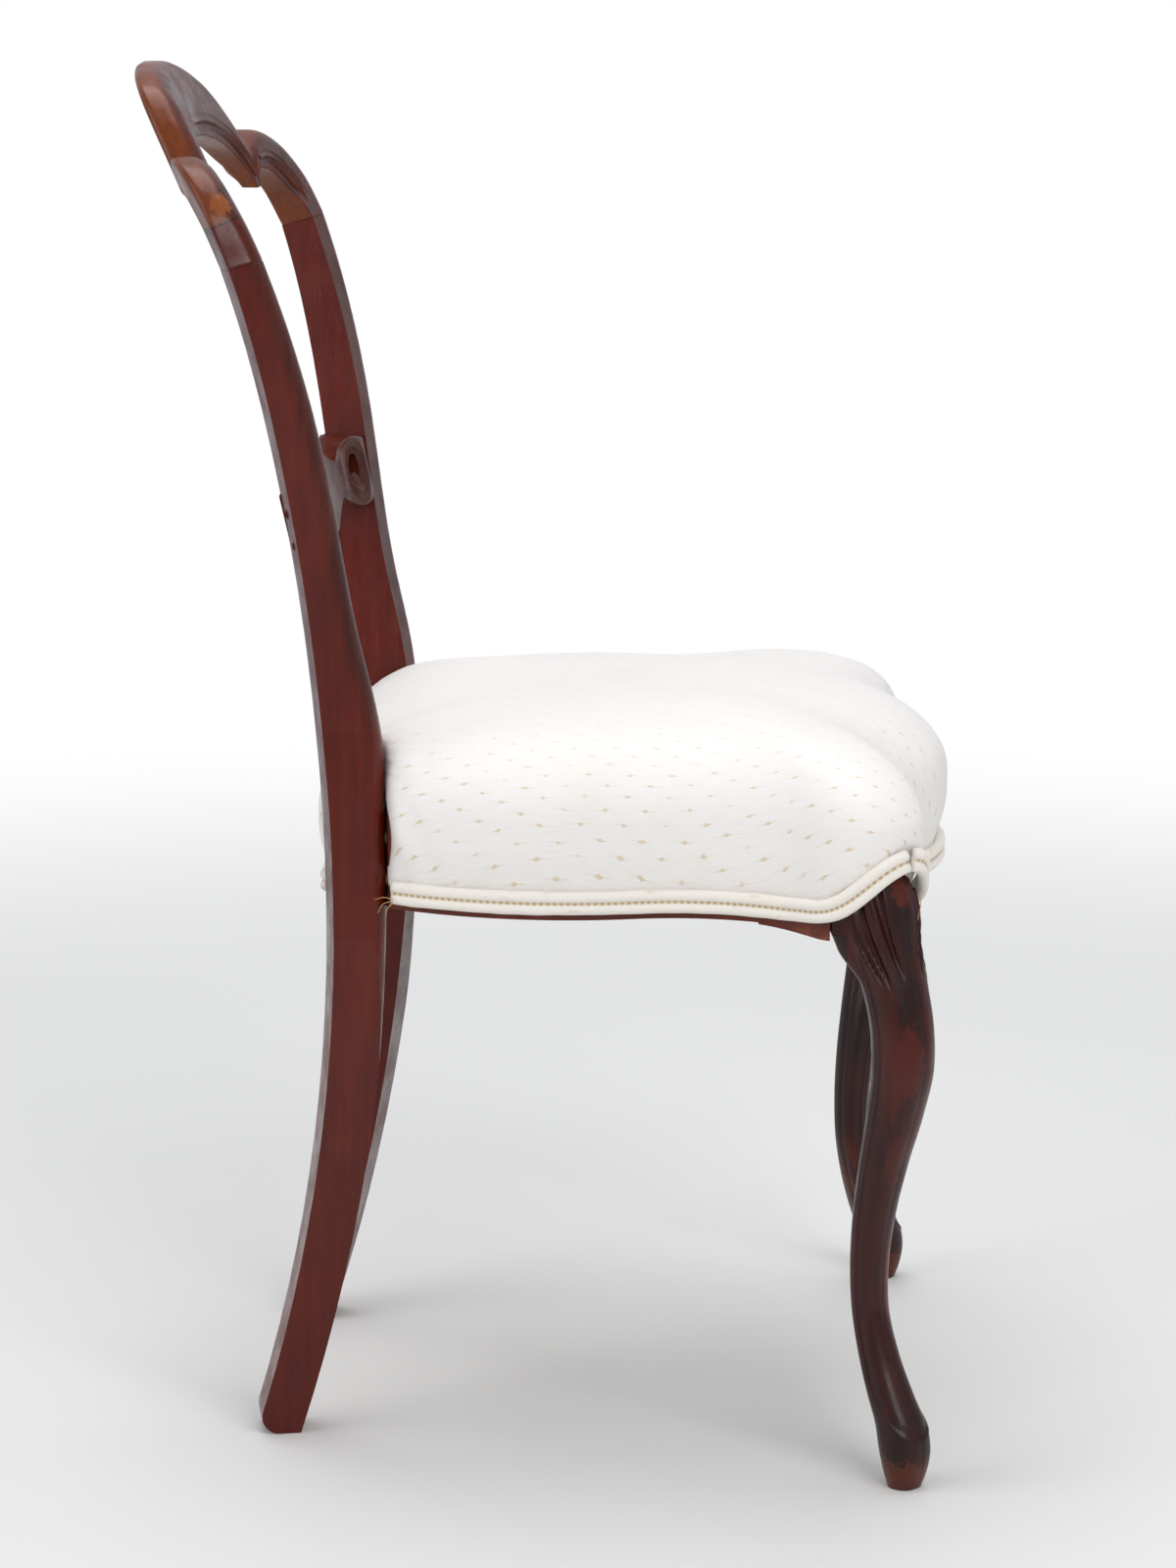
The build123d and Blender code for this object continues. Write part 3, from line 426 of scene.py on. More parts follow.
leg_patches = [
    *[((x, -233.0, 2.0), (34.0, 34.0, 19.0), colour(78, 31, 15)) for x in (-214.0, 214.0)],
    ((-205.0, -224.0, 384.0), (7.0, 7.0, 13.0), colour(78, 22, 10)),
    ((-228.0, -233.0, 278.0), (8.0, 9.0, 25.0), colour(72, 19, 9)),
    ((-215.0, -225.0, 205.0), (7.0, 7.0, 40.0), colour(64, 17, 8)),
]
shoulder_patch = ((-207.0, 188.0, 804.0), (6.5, 6.0, 11.0), colour(130, 68, 28))
leg_wood = polished_wood("leg_wood", "Z", colour(24, 5, 6), colour(56, 13, 9),
                         colour(104, 36, 13), 0.5, patches=leg_patches)
back_tones = colour(50, 15, 9), colour(88, 32, 18), colour(140, 62, 24)
# painted light: the rear legs' faces that don't look forwards get a warmer, redder side tone
rear_wood = polished_wood("rear_wood", "Z", *back_tones, 0.25, 0.24,
                          lit_side_tint=colour(98, 24, 9), low_tint=(472.0, colour(92, 21, 5)))
# painted light: the crest's faces that don't look forwards get a golden side tone
crest_wood = polished_wood("crest_wood", "X", *back_tones, 0.12, 0.22, [shoulder_patch],
                           lit_side_tint=colour(116, 52, 14),
                           splice=((0.0, 0.39, 0.92), 801.7, colour(88, 26, 13)))
cross_wood = polished_wood("cross_wood", "X", *back_tones, 0.15, 0.26)
rail_tones = colour(74, 28, 20), colour(112, 50, 34), colour(150, 86, 58)
rail_wood_side = polished_wood("rail_wood_side", "Y", *rail_tones, 0.6, 0.5)
rail_wood_front = polished_wood("rail_wood_front", "X", *rail_tones, 0.6, 0.5)
beech = bare_wood("beech", "X", colour(196, 158, 112), colour(158, 116, 74))
screw_steel = metal("screw_steel", colour(150, 146, 140), colour(94, 66, 46), 300, 0.35, 0.7)
tack_steel = metal("tack_steel", colour(70, 72, 84), colour(66, 46, 38), 260, 0.35, 0.7)
spring_steel = metal("spring_steel", colour(176, 138, 96), colour(92, 66, 48), 120, 0.3, 0.65)
jute = woven("jute", colour(188, 158, 112), colour(128, 98, 60), 0.0022, (0.018, 0.0016))
hessian = woven("hessian", colour(178, 150, 110), colour(96, 74, 48), 0.0034)
cover_cloth = sateen("cover_cloth")
cord_cloth = welt_cloth("cord_cloth")
gold_thread = spun("gold_thread")

# the material of the nodes whose names start so; a later line wins
finishes = {
    "rear_leg": rear_wood, "crest_rail": crest_wood, "mid_rail": cross_wood,
    "front_leg_left": leg_wood, "front_leg_right": leg_wood, "side_rail": rail_wood_side,
    "front_rail": rail_wood_front, "back_rail": rail_wood_front, "ear_side": rail_wood_side,
    "ear_front": rail_wood_front, "corner_block": beech, "corner_block_screws": screw_steel,
    "crest_dowels": beech, "mid_rail_dowels": rear_wood, "front_leg_dowels": beech,
    "rear_leg_dowels": beech, "webbing_tacks": tack_steel, "seat_spring": spring_steel,
}
for name, node in nodes.items():
    for start, material in finishes.items():
        if name.startswith(start):
            for index in range(len(node.data.materials)):
                node.data.materials[index] = material


# ---- plan of the seat
def turned(way, angle):
    return Vector((way.x * cos(angle) - way.y * sin(angle),
                   way.x * sin(angle) + way.y * cos(angle)))


def arc_chain(corners, heading, step=2.0):
    """Points and headings along arcs that each leave on the heading of the one before."""
    places = []
    heading = Vector(heading)
    for start, end in zip(corners, corners[1:]):
        start, chord = Vector(start), Vector(end) - Vector(start)
        half_turn = -heading.angle_signed(chord)
        length = chord.length * (half_turn / sin(half_turn) if abs(half_turn) > 1e-6 else 1)
        for n in range(round(length / step)):
            share = n / round(length / step)
            turn = half_turn * share
            reach = length * share * (sin(turn) / turn if abs(turn) > 1e-9 else 1)
            places.append((start + turned(heading, turn) * reach, turned(heading, 2 * turn)))
        heading = turned(heading, 2 * half_turn)
    places.append((Vector(corners[-1]), heading))
    return places


seat_corners = [(0.0, -255.5), (75.0, -238.0), (165.0, -231.4), (206.0, -172.0),
                (180.0, -60.0), (157.0, 92.0)]
seat_line = arc_chain(seat_corners, (1.0, 0.0))
rear_line = [(157.0, 92.0), (155.5, 103.0), (153.5, 117.0), (151.0, 130.0), (147.0, 133.0),
             (110.0, 133.0), (60.0, 133.0), (20.0, 133.0), (0.0, 133.0)]
# the notch around a stile: its front face on a circle about the back's axis, its inner face
stile_front = 607.9
stile_slope = 0.2088
notch = [(x, back_axis_y + sqrt(stile_front**2 - x * x))
         for x in (190, 175, 160, 148, 136, 124.2)]
notch += [(stile_slope * (y - back_axis_y), y) for y in (107, 116, 126, 136, 147)]


def polar(places):
    """Angles and distances about the middle of the seat."""
    return ([np.arctan2(y - seat_centre_y, x) for x, y in places],
            [np.hypot(x, y - seat_centre_y) for x, y in places])


plan_angles, plan_reach = polar([tuple(point) for point, _ in seat_line] + rear_line[1:])
notch_angles, notch_reach = polar(notch)


def diagonal(x, y):
    """0 on the diagonal through a front leg's axis, and less before it."""
    return abs(x) - leg_axis[0] + y - leg_axis[1]


def knee_rise(x, y):
    """How far the seat's lower edge climbs over a knee."""
    away = abs(diagonal(x, y) * sqrt(0.5))
    return knee_lift * (0.5 + 0.5 * cos(pi * min(away / 42.0, 1.0)))


def seat_spot(angle, inset, height, notch_gap=0.0):
    """A point of the upholstery: angle in plan, inset from its widest line, and height."""
    side = 1 if cos(angle) >= 0 else -1
    folded = np.arctan2(sin(angle), abs(cos(angle)))
    reach = np.interp(folded, plan_angles, plan_reach) * (cover_reach - inset)
    reach /= cover_reach - line_inset
    if notch_angles[0] < folded < notch_angles[-1]:
        reach = min(reach, np.interp(folded, notch_angles, notch_reach) - notch_gap)
    x = reach * cos(folded)
    y = seat_centre_y + reach * sin(folded)
    if height < side_high and inset < 60:
        foot = side_low + knee_rise(x, y)
        height = foot + (height - side_low) * (side_high - foot) / (side_high - side_low)
    return side * x, y, height


# ---- cover of the seat
crown = [(cover_reach, 483), (150, 482.3), (108, 480), (72, 475), (42, 467), (21, 456), (8, 443),
         (3, 434), (0.6, 425), (0, 413), (0.3, 402), (2.2, 391), (5, 382), (7.5, 374),
         (8.0, 363.3)]
crown_shares = np.linspace(0, 1, 400)
crown_line = curve(crown, crown_shares)
# the grid ends where the crown turns down, over the seat's line
turn_share = float(np.interp(-line_inset, -crown_line[:, 0], crown_shares))
under = [(8.7, 362.8), (9.4, 363.4), (9.7, 368), (9.7, 376), (9.7, 384), (9.7, 392), (9.7, 400),
         (9.7, 408), (9.7, 414), (9.8, 418.4), (14, 418.5), (20, 418.5), (24.5, 419.2),
         (32, 425.4), (40, 432.0), (48, 438.6)]
hollow_reach = 144.0
hollow_top = 443.8
grid_count = 66


def disc(i, j):
    """Angle and radius of a square grid's point, spread over a disc."""
    u = 2 * i / grid_count - 1
    v = 2 * j / grid_count - 1
    x = u * sqrt(1 - v * v / 2)
    y = v * sqrt(1 - u * u / 2)
    return np.arctan2(y, x), np.hypot(x, y)


def rim_of_grid():
    n = grid_count
    half = [(i, 0) for i in range(n)] + [(n, j) for j in range(n)]
    return half + [(n - i, n - j) for i, j in half]


def cover_form():
    """Closed form of the cover over its stuffing: crown, sides, hem and hollow underside."""
    rim = rim_of_grid()
    around = len(rim)
    points = []
    places = {}
    for i in range(grid_count + 1):
        for j in range(grid_count + 1):
            angle, radius = disc(i, j)
            inset, height = [np.interp(radius * turn_share, crown_shares, column)
                             for column in crown_line.T]
            places[i, j] = len(points)
            points.append(seat_spot(angle, inset, height))
    faces = [(places[i, j], places[i + 1, j], places[i + 1, j + 1], places[i, j + 1])
             for i in range(grid_count) for j in range(grid_count)]
    last = [places[spot] for spot in rim]
    rings = [tuple(p) for p in curve(crown, np.linspace(turn_share, 1, 18)[1:])]
    outer_rings = len(rings)
    for number, (inset, height) in enumerate(rings + under):
        gap = 0.0 if number < outer_rings else 2.0
        new = list(range(len(points), len(points) + around))
        points += [seat_spot(disc(*spot)[0], inset, height, gap) for spot in rim]
        for k in range(around):
            n = (k + 1) % around
            faces.append((last[n], last[k], new[k], new[n]))
        last = new
    held_from = (grid_count + 1) ** 2 + (outer_rings - 2) * around
    inner = {spot: last[k] for k, spot in enumerate(rim)}
    for i in range(1, grid_count):
        for j in range(1, grid_count):
            angle, radius = disc(i, j)
            inner[i, j] = len(points)
            points.append(seat_spot(angle, cover_reach - hollow_reach * radius, hollow_top, 2.0))
    faces += [(inner[i, j], inner[i, j + 1], inner[i + 1, j + 1], inner[i + 1, j])
              for i in range(grid_count) for j in range(grid_count)]
    return points, faces, held_from


def blow_up(obj, held_from, limit=4.0, frames=20):
    """Let air pressure fill the cover while its hem and underside are held."""
    group = obj.vertex_groups.new(name="held")
    group.add(list(range(held_from, len(obj.data.vertices))), 1.0, "ADD")
    start = np.array([v.co for v in obj.data.vertices])
    cloth = obj.modifiers.new("Cloth", "CLOTH")
    settings = {"quality": 6, "mass": 0.25, "tension_stiffness": 30,
                "compression_stiffness": 20, "shear_stiffness": 8, "bending_stiffness": 1.5,
                "use_pressure": True, "uniform_pressure_force": 4.0,
                "vertex_group_mass": "held"}
    for key, value in settings.items():
        setattr(cloth.settings, key, value)
    cloth.settings.effector_weights.gravity = 0.0
    cloth.collision_settings.use_collision = False
    cloth.point_cache.frame_start = 1
    cloth.point_cache.frame_end = frames
    for number in range(1, frames + 1):
        scene.frame_set(number)
    settled = obj.evaluated_get(bpy.context.evaluated_depsgraph_get())
    end = np.array([v.co for v in settled.data.vertices])
    move = end - start
    length = np.linalg.norm(move, axis=1)
    print("cover moved by at most", round(float(length.max()) * 1000, 2), "mm")
    move *= np.minimum(1.0, limit * mm / np.maximum(length, 1e-9))[:, None]
    obj.modifiers.remove(cloth)
    obj.vertex_groups.remove(group)
    obj.data.vertices.foreach_set("co", (start + move).ravel())
    obj.data.update()
    scene.frame_set(1)


def puckers(obj):
    """Small pulls of the cloth above the hem, and drawn folds beside the stiles."""
    for v in obj.data.vertices:
        x, y, z = v.co / mm
        if z > 476 or (abs(x) < 120 and 362 < z < 444 and y > -190 and y < 110):
            continue
        side = smoothstep(470, 425, z) * smoothstep(362, 376, z)
        run = noise.noise(Vector((x / 26, y / 26, z / 120)))
        fine = noise.noise(Vector((x / 9, y / 9, z / 60 + 5)))
        push = side * (1.3 * run + 0.5 * fine)
        away = np.hypot(abs(x) - 158, y - 94)
        fold = np.exp(-(away / 30) ** 2) * sin((y - 94 - 0.45 * (z - 440)) / 3.6)
        push += 1.2 * fold * smoothstep(478, 455, z)
        v.co += v.normal * push * mm
    obj.data.update()


def map_cloth(obj):
    """Where the cloth's points lay before it was pulled down over the seat, in metres."""
    flat = []
    for v in obj.data.vertices:
        angle = np.arctan2(v.co.y - seat_centre_y * mm, abs(v.co.x))
        turn = -smoothstep(-0.62, -0.95, angle) * pi / 2 + smoothstep(0.85, 1.1, angle) * pi / 2
        side = 1 if v.co.x >= 0 else -1
        drop = max(0.0, 0.478 - v.co.z)
        flat.append((v.co.y + sin(turn) * drop, v.co.x + side * cos(turn) * drop))
    flat_map(obj, flat.__getitem__)


points, faces, held_from = cover_form()
cover = piece("seat_cover_cloth", points, faces, cover_cloth)
blow_up(cover, held_from)
puckers(cover)
map_cloth(cover)
cover.modifiers.new("Smooth", "SUBSURF").render_levels = 1
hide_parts("seat_cover", "seat_stuffing")


# ---- double welt
cord_radius = 3.7
cord_heights = (3.6, 11.2)
welt_middle = 7.4


def welt_section(round_count=14):
    """Outline of two cords lying on each other: out from the seat, and up."""
    section = []
    for centre, start, end in zip(cord_heights, (-215, -62), (62, 215)):
        for n in range(round_count):
            angle = radians(start + (end - start) * n / (round_count - 1))
            section.append((cord_radius * cos(angle), centre + cord_radius * sin(angle)))
    return section


def welt(name, route, node):
    """Sweep the two cords along a route of points, outward and upward directions."""
    section = welt_section()
    around = len(section)
    length = 0.0
    points = []
    lengths = []
    for n, (spot, out, up) in enumerate(route):
        if n:
            length += (spot - route[n - 1][0]).length
        lengths.append(length)
        swell = 1.0 + 0.05 * noise.noise(spot / 14)
        ends = min(length, 4.0) / 4.0
        for along_out, along_up in section:
            points.append(spot + out * along_out * swell * (0.55 + 0.45 * sqrt(ends))
                          + up * (welt_middle + (along_up - welt_middle) * swell))
    faces = bands(len(route), around) + caps(len(route), around)
    obj = piece(name, points, faces, cord_cloth)
    flat_map(obj, lambda n: (lengths[n // around] * mm, n % around / (around - 1)))
    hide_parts(node)


def thread(name, spots, radius=0.35, rings=24, around=6):
    """A loose end of thread through a few places, half as thick at its tip."""
    last = rings - 1
    line = curve(spots, np.linspace(0, 1, rings))
    points = []
    for n, spot in enumerate(line):
        run = Vector(line[min(n + 1, last)] - line[max(n - 1, 0)]).normalized()
        one = run.cross(Vector((1, 0, 0))).normalized()
        two = run.cross(one)
        for k in range(around):
            turn = 2 * pi * k / around
            way = one * cos(turn) + two * sin(turn)
            points.append(Vector(spot) + way * radius * (1 - 0.5 * n / last))
    faces = bands(rings, around) + caps(rings, around)
    piece(name, points, faces, gold_thread)


def welt_route(places, side):
    """Route of the welt along part of the seat's line, over the knee."""
    feet = []
    for point, heading in places:
        rise = knee_rise(*point)
        out = Vector((heading.y, -heading.x)) * (4.0 + 7.7 * rise / knee_lift)
        feet.append(Vector((side * (point.x + out.x), point.y + out.y, hem_height + rise)))
    route = []
    for n, foot in enumerate(feet):
        run = (feet[min(n + 2, len(feet) - 1)] - feet[max(n - 2, 0)]).normalized()
        level = Vector((run.x, run.y, 0)).length
        up = Vector((-run.x * run.z / level, -run.y * run.z / level, level)).normalized()
        out = run.cross(up) * side
        route.append((foot, out, up))
    return route


front_half = [place for place in seat_line if diagonal(*place[0]) < -0.5]
side_half = [place for place in seat_line if diagonal(*place[0]) > 0.5][:-1]
left_front = welt_route(front_half, 1)
right_front = [[v * Vector((-1, 1, 1)) for v in place] for place in left_front[:0:-1]]
rear_route = [(Vector((x, 137.2, hem_height)), Vector((0, 1, 0)), Vector((0, 0, 1)))
              for x in np.linspace(126, -126, 85)]
welt("welt_front_cloth", right_front + left_front, "welt_front")
welt("welt_left_cloth", welt_route(side_half, 1)[::-1], "welt_left")
welt("welt_right_cloth", welt_route(side_half, -1)[::-1], "welt_right")
welt("welt_back_cloth", rear_route, "welt_back")

# loose ends: three at the rear of the right welt, one below its end at the knee
thread("loose_thread_1", [(-167.5, 91.5, 367), (-168, 97, 368.5), (-168, 103, 367)])
thread("loose_thread_2", [(-167.5, 91.5, 366), (-168, 97, 364.5), (-168.5, 101, 358.5)])
thread("loose_thread_3", [(-167.5, 91.5, 365), (-168, 95, 361), (-168, 96, 354.5)])
thread("loose_thread_4", [(-209, -237, 385), (-210, -237.5, 376), (-210, -236, 366)])


# ---- webbing and canvas
web_width = 49.6


def strip(name, node, lengthwise):
    """A woven strip that follows a CAD strip of the webbing, over and under the others."""
    low, high = (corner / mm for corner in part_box(node))
    cad = np.array([v.co for v in nodes[node].data.vertices]) / mm
    axis = 1 if lengthwise else 0
    places = np.linspace(low[axis] + 0.2, high[axis] - 0.2, 120)
    tops = {}
    for spot in cad:
        key = round(float(spot[axis]), 1)
        tops[key] = max(tops.get(key, -1e9), spot[2])
    keys = sorted(tops)
    heights = np.interp(places, keys, [tops[key] - 0.6 for key in keys])
    middle = (low[1 - axis] + high[1 - axis]) / 2
    points = []
    count = 9
    across = np.linspace(-web_width / 2, web_width / 2, count)
    for place, height in zip(places, heights):
        for w in across:
            sag = 0.25 * noise.noise(Vector((place / 30, (middle + w) / 30, 3.0)))
            x, y = (middle + w, place) if lengthwise else (place, middle + w)
            points.append((x, y, height + sag))
    faces = bands(len(places), count, closed=False)
    obj = piece(name, points, faces, jute)
    flat_map(obj, lambda n: (places[n // count] * mm, across[n % count] * mm))
    thicken(obj, 0.0011)
    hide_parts(node)


for number in range(1, 5):
    strip(f"web_long_{number}", f"webbing_long_{number}", True)
    strip(f"web_cross_{number}", f"webbing_cross_{number}", False)


def canvas_sheet():
    """Hessian over the springs, tacked along the tops of the rails."""
    around = 180
    top = 441.9
    rings = [(25.0, 418.5), (33.0, 425.5), (42.0, 433.5), (52.0, 440.5), (62.0, 441.8),
             (85.0, top), (115.0, top), (150.0, top), (180.0, top)]
    points = []
    for inset, height in rings:
        for k in range(around):
            x, y, _ = seat_spot(2 * pi * k / around, inset, height, 3.0)
            points.append((x, y, height))
    faces = bands(len(rings), around)
    last = around * (len(rings) - 1)
    points.append((0.0, seat_centre_y, top))
    faces += [(last + k, last + (k + 1) % around, len(points) - 1) for k in range(around)]
    obj = piece("canvas_cloth", points, faces, hessian)
    flat_map(obj, lambda n: obj.data.vertices[n].co.yx)
    thicken(obj, 0.001)
    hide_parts("spring_canvas")


canvas_sheet()


# ---- front legs
# height, how far the middle lies outwards on the diagonal, and width
leg_sections = [
    (0.0, 7.0, 18.5), (9.0, 7.5, 23.5), (24.0, 7.0, 28.3), (40.0, 3.5, 28.3),
    (58.0, -5.5, 26.2), (82.0, -16.0, 23.2), (110.0, -24.0, 21.0), (140.0, -25.5, 21.4),
    (172.0, -22.0, 23.6), (207.0, -14.4, 27.0), (240.0, -5.5, 31.0), (272.0, 0.5, 34.0),
    (300.0, -1.0, 34.6), (325.0, -8.0, 36.2), (348.0, -17.0, 40.0), (372.0, -25.0, 47.0),
    (390.0, -31.0, 45.0), (402.0, -38.0, 42.0),
]
leg_line = curve(leg_sections, np.linspace(0, 1, 500))
# shape of a leg's section: degrees from the outward diagonal, and distance per side
section_knots = ([0, 25, 45, 70, 99, 115, 135, 150, 180],
                 [0.515, 0.542, 0.568, 0.578, 0.58, 0.583, 0.585, 0.54, 0.48])
# flutes of the knee: angle and height at the top and at the bottom, half width, depth
flutes = [((89.0, 369.0), (64.0, 326.0), 3.3, 2.6), ((68.0, 375.0), (53.0, 326.0), 3.3, 2.8),
          ((40.0, 387.0), (27.0, 334.0), 3.6, 2.8)]


def leg_detail(angle, height, radius):
    """How far the carving lies out of a plain leg's surface."""
    aside = abs(angle)
    arc = radius * pi / 180
    # the panel's border: 99 degrees either side, and rounded off below 66 mm
    low = max(0.0, 66 - height) / 33.0
    level = (aside / 99.0) ** 2 + low**2 - 1
    rate = np.hypot(2 * aside / 99.0**2 / arc, 2 * low / 33.0)
    away = level / max(rate, 1e-3)
    ending = smoothstep(352, 338, height)
    push = 0.6 * np.exp(-(away**2)) * ending
    push -= 0.7 * np.exp(-((away + 2.2) ** 2)) * ending
    push -= 0.5 * np.exp(-(((away - 2.0) / 0.9) ** 2)) * ending * smoothstep(30, 70, height)
    push -= smoothstep(150, 60, height) * smoothstep(-1.0, -5.0, away)
    for top, bottom, half, deep in flutes:
        share = (top[1] - height) / (top[1] - bottom[1])
        middle = top[0] + (bottom[0] - top[0]) * share + 3 * sin(pi * np.clip(share, 0, 1))
        width = half * (1.15 - 0.55 * np.clip(share, 0, 1))
        off = (aside - middle) * arc / width
        fade = smoothstep(1.15, 0.75, share)
        push -= deep * fade * max(0.0, 1 - off * off) ** 0.8
        push += 0.8 * fade * np.exp(-((abs(off) - 1.2) / 0.28) ** 2)
    return push


def on_diagonal(along, out):
    """Place in plan: along the knee, and outwards from the leg's axis."""
    return leg_axis[0] + (along + out) * sqrt(0.5), leg_axis[1] + (along - out) * sqrt(0.5)


def front_leg(name, side, node):
    """One front leg: the carved cabriole leg below, and its square post in the frame."""
    around = 144
    rings = 250
    knee_radius = 0.575 * 45
    angles = [360.0 * k / around - 180.0 for k in range(around)]
    # the leg ends just below the hem
    tops = [hem_height - 0.5 + knee_rise(*on_diagonal(knee_radius * sin(radians(angle)), -12))
            for angle in angles]
    points = []
    for ring in range(rings):
        share = ring / (rings - 1)
        for angle, top in zip(angles, tops):
            height = share * top
            offset = np.interp(height, leg_line[:, 0], leg_line[:, 1])
            width = np.interp(height, leg_line[:, 0], leg_line[:, 2])
            radius = width * np.interp(abs(angle), *section_knots)
            radius += leg_detail(angle, height, radius)
            # the knee's sides run out to the ends of the ears
            knee = smoothstep(ear_height, ear_height + 24, height)
            radius += 7.0 * knee * smoothstep(98, 128, abs(angle))
            out = offset + radius * cos(radians(angle))
            along = radius * sin(radians(angle))
            x, y = on_diagonal(along, out)
            if height > ear_height:
                x = max(x, post_x)
                y = min(y, post_y)
            points.append((x, y, height))
    faces = bands(rings, around) + caps(rings, around)
    half_width, half_depth = 187, 194.25
    plan = [(post_x, post_y)]
    for point, _ in seat_line[::-1]:
        x = point.x * (half_width - post_inset) / half_width
        y = point.y - seat_centre_y
        y = seat_centre_y + y * (half_depth - post_inset) / half_depth
        if x > post_x + 0.2 and y < post_y - 0.2:
            plan.append((x, y))
    first = len(points)
    count = len(plan)
    points += [(x, y, z) for z in (post_low, post_high) for x, y in plan]
    faces += flipped(bands(2, count, first))
    faces.append(tuple(range(first, first + count)))
    faces.append(tuple(range(first + count, first + 2 * count))[::-1])
    if side < 0:
        points = mirrored(points)
        faces = flipped(faces)
    obj = piece(name, points, faces, leg_wood)
    crisp(obj, count + 2)
    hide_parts(node)


front_leg("front_leg_carved_left", 1, "front_leg_left")
front_leg("front_leg_carved_right", -1, "front_leg_right")


# ---- carved back
middle_height = 770


def back_profile():
    """Distances of the front and back faces from the back's axis, as curves of the height."""
    trees = [BVHTree.FromPolygons([v.co for v in node.data.vertices],
                                  [tuple(f.vertices) for f in node.data.polygons])
             for node in (nodes["rear_leg_left"], nodes["crest_rail"])]
    found = {"front": [], "back": []}
    for height in list(range(690, 800, 10)) + list(range(838, 874, 6)):
        half = 172.0 if height < 800 else 20.0
        way = Vector((half, outline_distance, 0)).normalized()
        for face, start, step in (("front", 560.0, 1), ("back", 860.0, -1)):
            origin = Vector((0, back_axis_y, height)) + way * start
            hits = [tree.ray_cast(origin * mm, way * step, 0.4)[3] for tree in trees]
            hits = [hit for hit in hits if hit is not None]
            if hits:
                found[face].append((height - middle_height, start + step * min(hits) / mm))
    return [np.polyfit(*zip(*found[face]), 4) for face in ("front", "back")]


profile_front, profile_back = back_profile()


def on_back(half, height, depth):
    """Point of the back: depth is the share from its front face to its back face."""
    front = np.polyval(profile_front, height - middle_height)
    rear = np.polyval(profile_back, height - middle_height)
    ray = (front + (rear - front) * depth) / np.hypot(half, outline_distance)
    return half * ray, back_axis_y + outline_distance * ray, height


# the crest's outlines, half width and height: its middle arch, and its shoulder
crest_low = [[(0, 833), (30, 831.5), (54, 827), (77, 816.5), (90, 803), (95.5, 793)],
             [(101.5, 793), (106.5, 800.5), (118, 804.5), (132, 803), (149, 791.5),
              (159, 779), (164, 770)]]
crest_high = [[(0, 881), (33, 879), (58, 873), (76, 863.5), (88, 849), (97, 833), (104.5, 819)],
              [(104.5, 819), (118, 825.5), (134, 829), (152, 827), (172, 816.5),
               (187.5, 796), (194, 770)]]


def crest_section(width, deep, rounds, counts):
    """Rounded section: up the front, over the top, down the back and under; sizes in mm."""
    corners = [(0, 0), (width, 0), (width, deep), (0, deep)]
    inward = [(1, 1), (-1, 1), (-1, -1), (1, -1)]
    arcs = []
    for corner, way, first, r in zip(corners, inward, (180, 270, 0, 90), rounds):
        r = min(r, 0.48 * min(width, deep))
        arcs.append([(corner[0] + way[0] * r + r * cos(radians(first + 15 * k)),
                      corner[1] + way[1] * r + r * sin(radians(first + 15 * k)))
                     for k in range(7)])
    loop = []
    for n, arc in enumerate(arcs):
        start, end = np.array(arc[-1]), np.array(arcs[(n + 1) % 4][0])
        loop += arc + [tuple(start + (end - start) * k / counts[n]) for k in range(1, counts[n])]
    return loop


def crest_carving(place, up, width, x):
    """How far the crest's front is cut back, in mm; up is the height over its lower edge."""
    ending = smoothstep(1.9, 1.72, place)
    curl = 6.0 * np.exp(-((place - 1.07) / 0.05) ** 2) if place > 1 else 0.0
    bead = 10.5 + curl
    cut = 2.6 * ending * smoothstep(bead - 0.8, bead - 3.5, up)
    cut -= 0.9 * ending * np.exp(-((up - bead) / 1.3) ** 2)
    cut += 0.9 * ending * np.exp(-((up - bead - 2.6) / 1.2) ** 2)
    crease = 98.7 + 5.8 * up / width
    cut += 2.4 * max(0.0, 1 - abs(x - crease) / 3.2)
    share = 2 * up / width - 1
    cut += 1.6 * share * share * smoothstep(1.95, 1.6, place)
    return cut


def crest():
    """The crest rail: rounded, with a bead and cove along its lower edge."""
    stations = []
    for part in (0, 1):
        shares = np.linspace(0, 1, 130)
        low = curve(crest_low[part], shares)
        high = curve(crest_high[part], shares)
        stations += [(part + share, lo, hi) for share, lo, hi in zip(shares, low, high)]
    sections = []
    for place, lo, hi in stations:
        width = float(np.linalg.norm(hi - lo))
        up = (lo[1] + hi[1]) / 2 - middle_height
        deep = np.polyval(profile_back, up) - np.polyval(profile_front, up)
        outer = 13.0 - 3.0 * smoothstep(1.9, 1.4, place)
        back = 0.6 + 5.4 * smoothstep(1.95, 1.6, place)
        # towards its joint the crest meets the stile's slanting end, and draws in a little
        joint = smoothstep(1.75, 2.0, place)
        shut = 0.6 * smoothstep(1.985, 2.0, place)
        section = []
        for up, depth in crest_section(width, deep, (1.2, outer, back, 1.0), (44, 5, 16, 5)):
            up += shut * (1 - 2 * up / width)
            depth += shut * (1 - 2 * depth / deep)
            x = lo[0] + (hi[0] - lo[0]) * up / width
            z = lo[1] + (hi[1] - lo[1]) * up / width
            cut = crest_carving(place, up, width, x) * smoothstep(deep * 0.55, 0, depth)
            tip = np.exp(-((x - 99) / 13) ** 2) * smoothstep(13, 0, up)
            cut -= 9.0 * tip * smoothstep(deep * 0.5, deep, depth)
            share = (depth + cut) / deep
            z -= joint * (on_back(x, z, share)[1] - 161.0) * 0.2493
            section.append(on_back(x, z, share))
        sections.append(section)
    rings = [mirrored(section).tolist() for section in sections[:0:-1]] + sections
    around = len(rings[0])
    points = [spot for ring in rings for spot in ring]
    faces = bands(len(rings), around) + caps(len(rings), around)
    obj = piece("crest_rail_carved", points, faces, crest_wood)
    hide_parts("crest_rail")


crest()

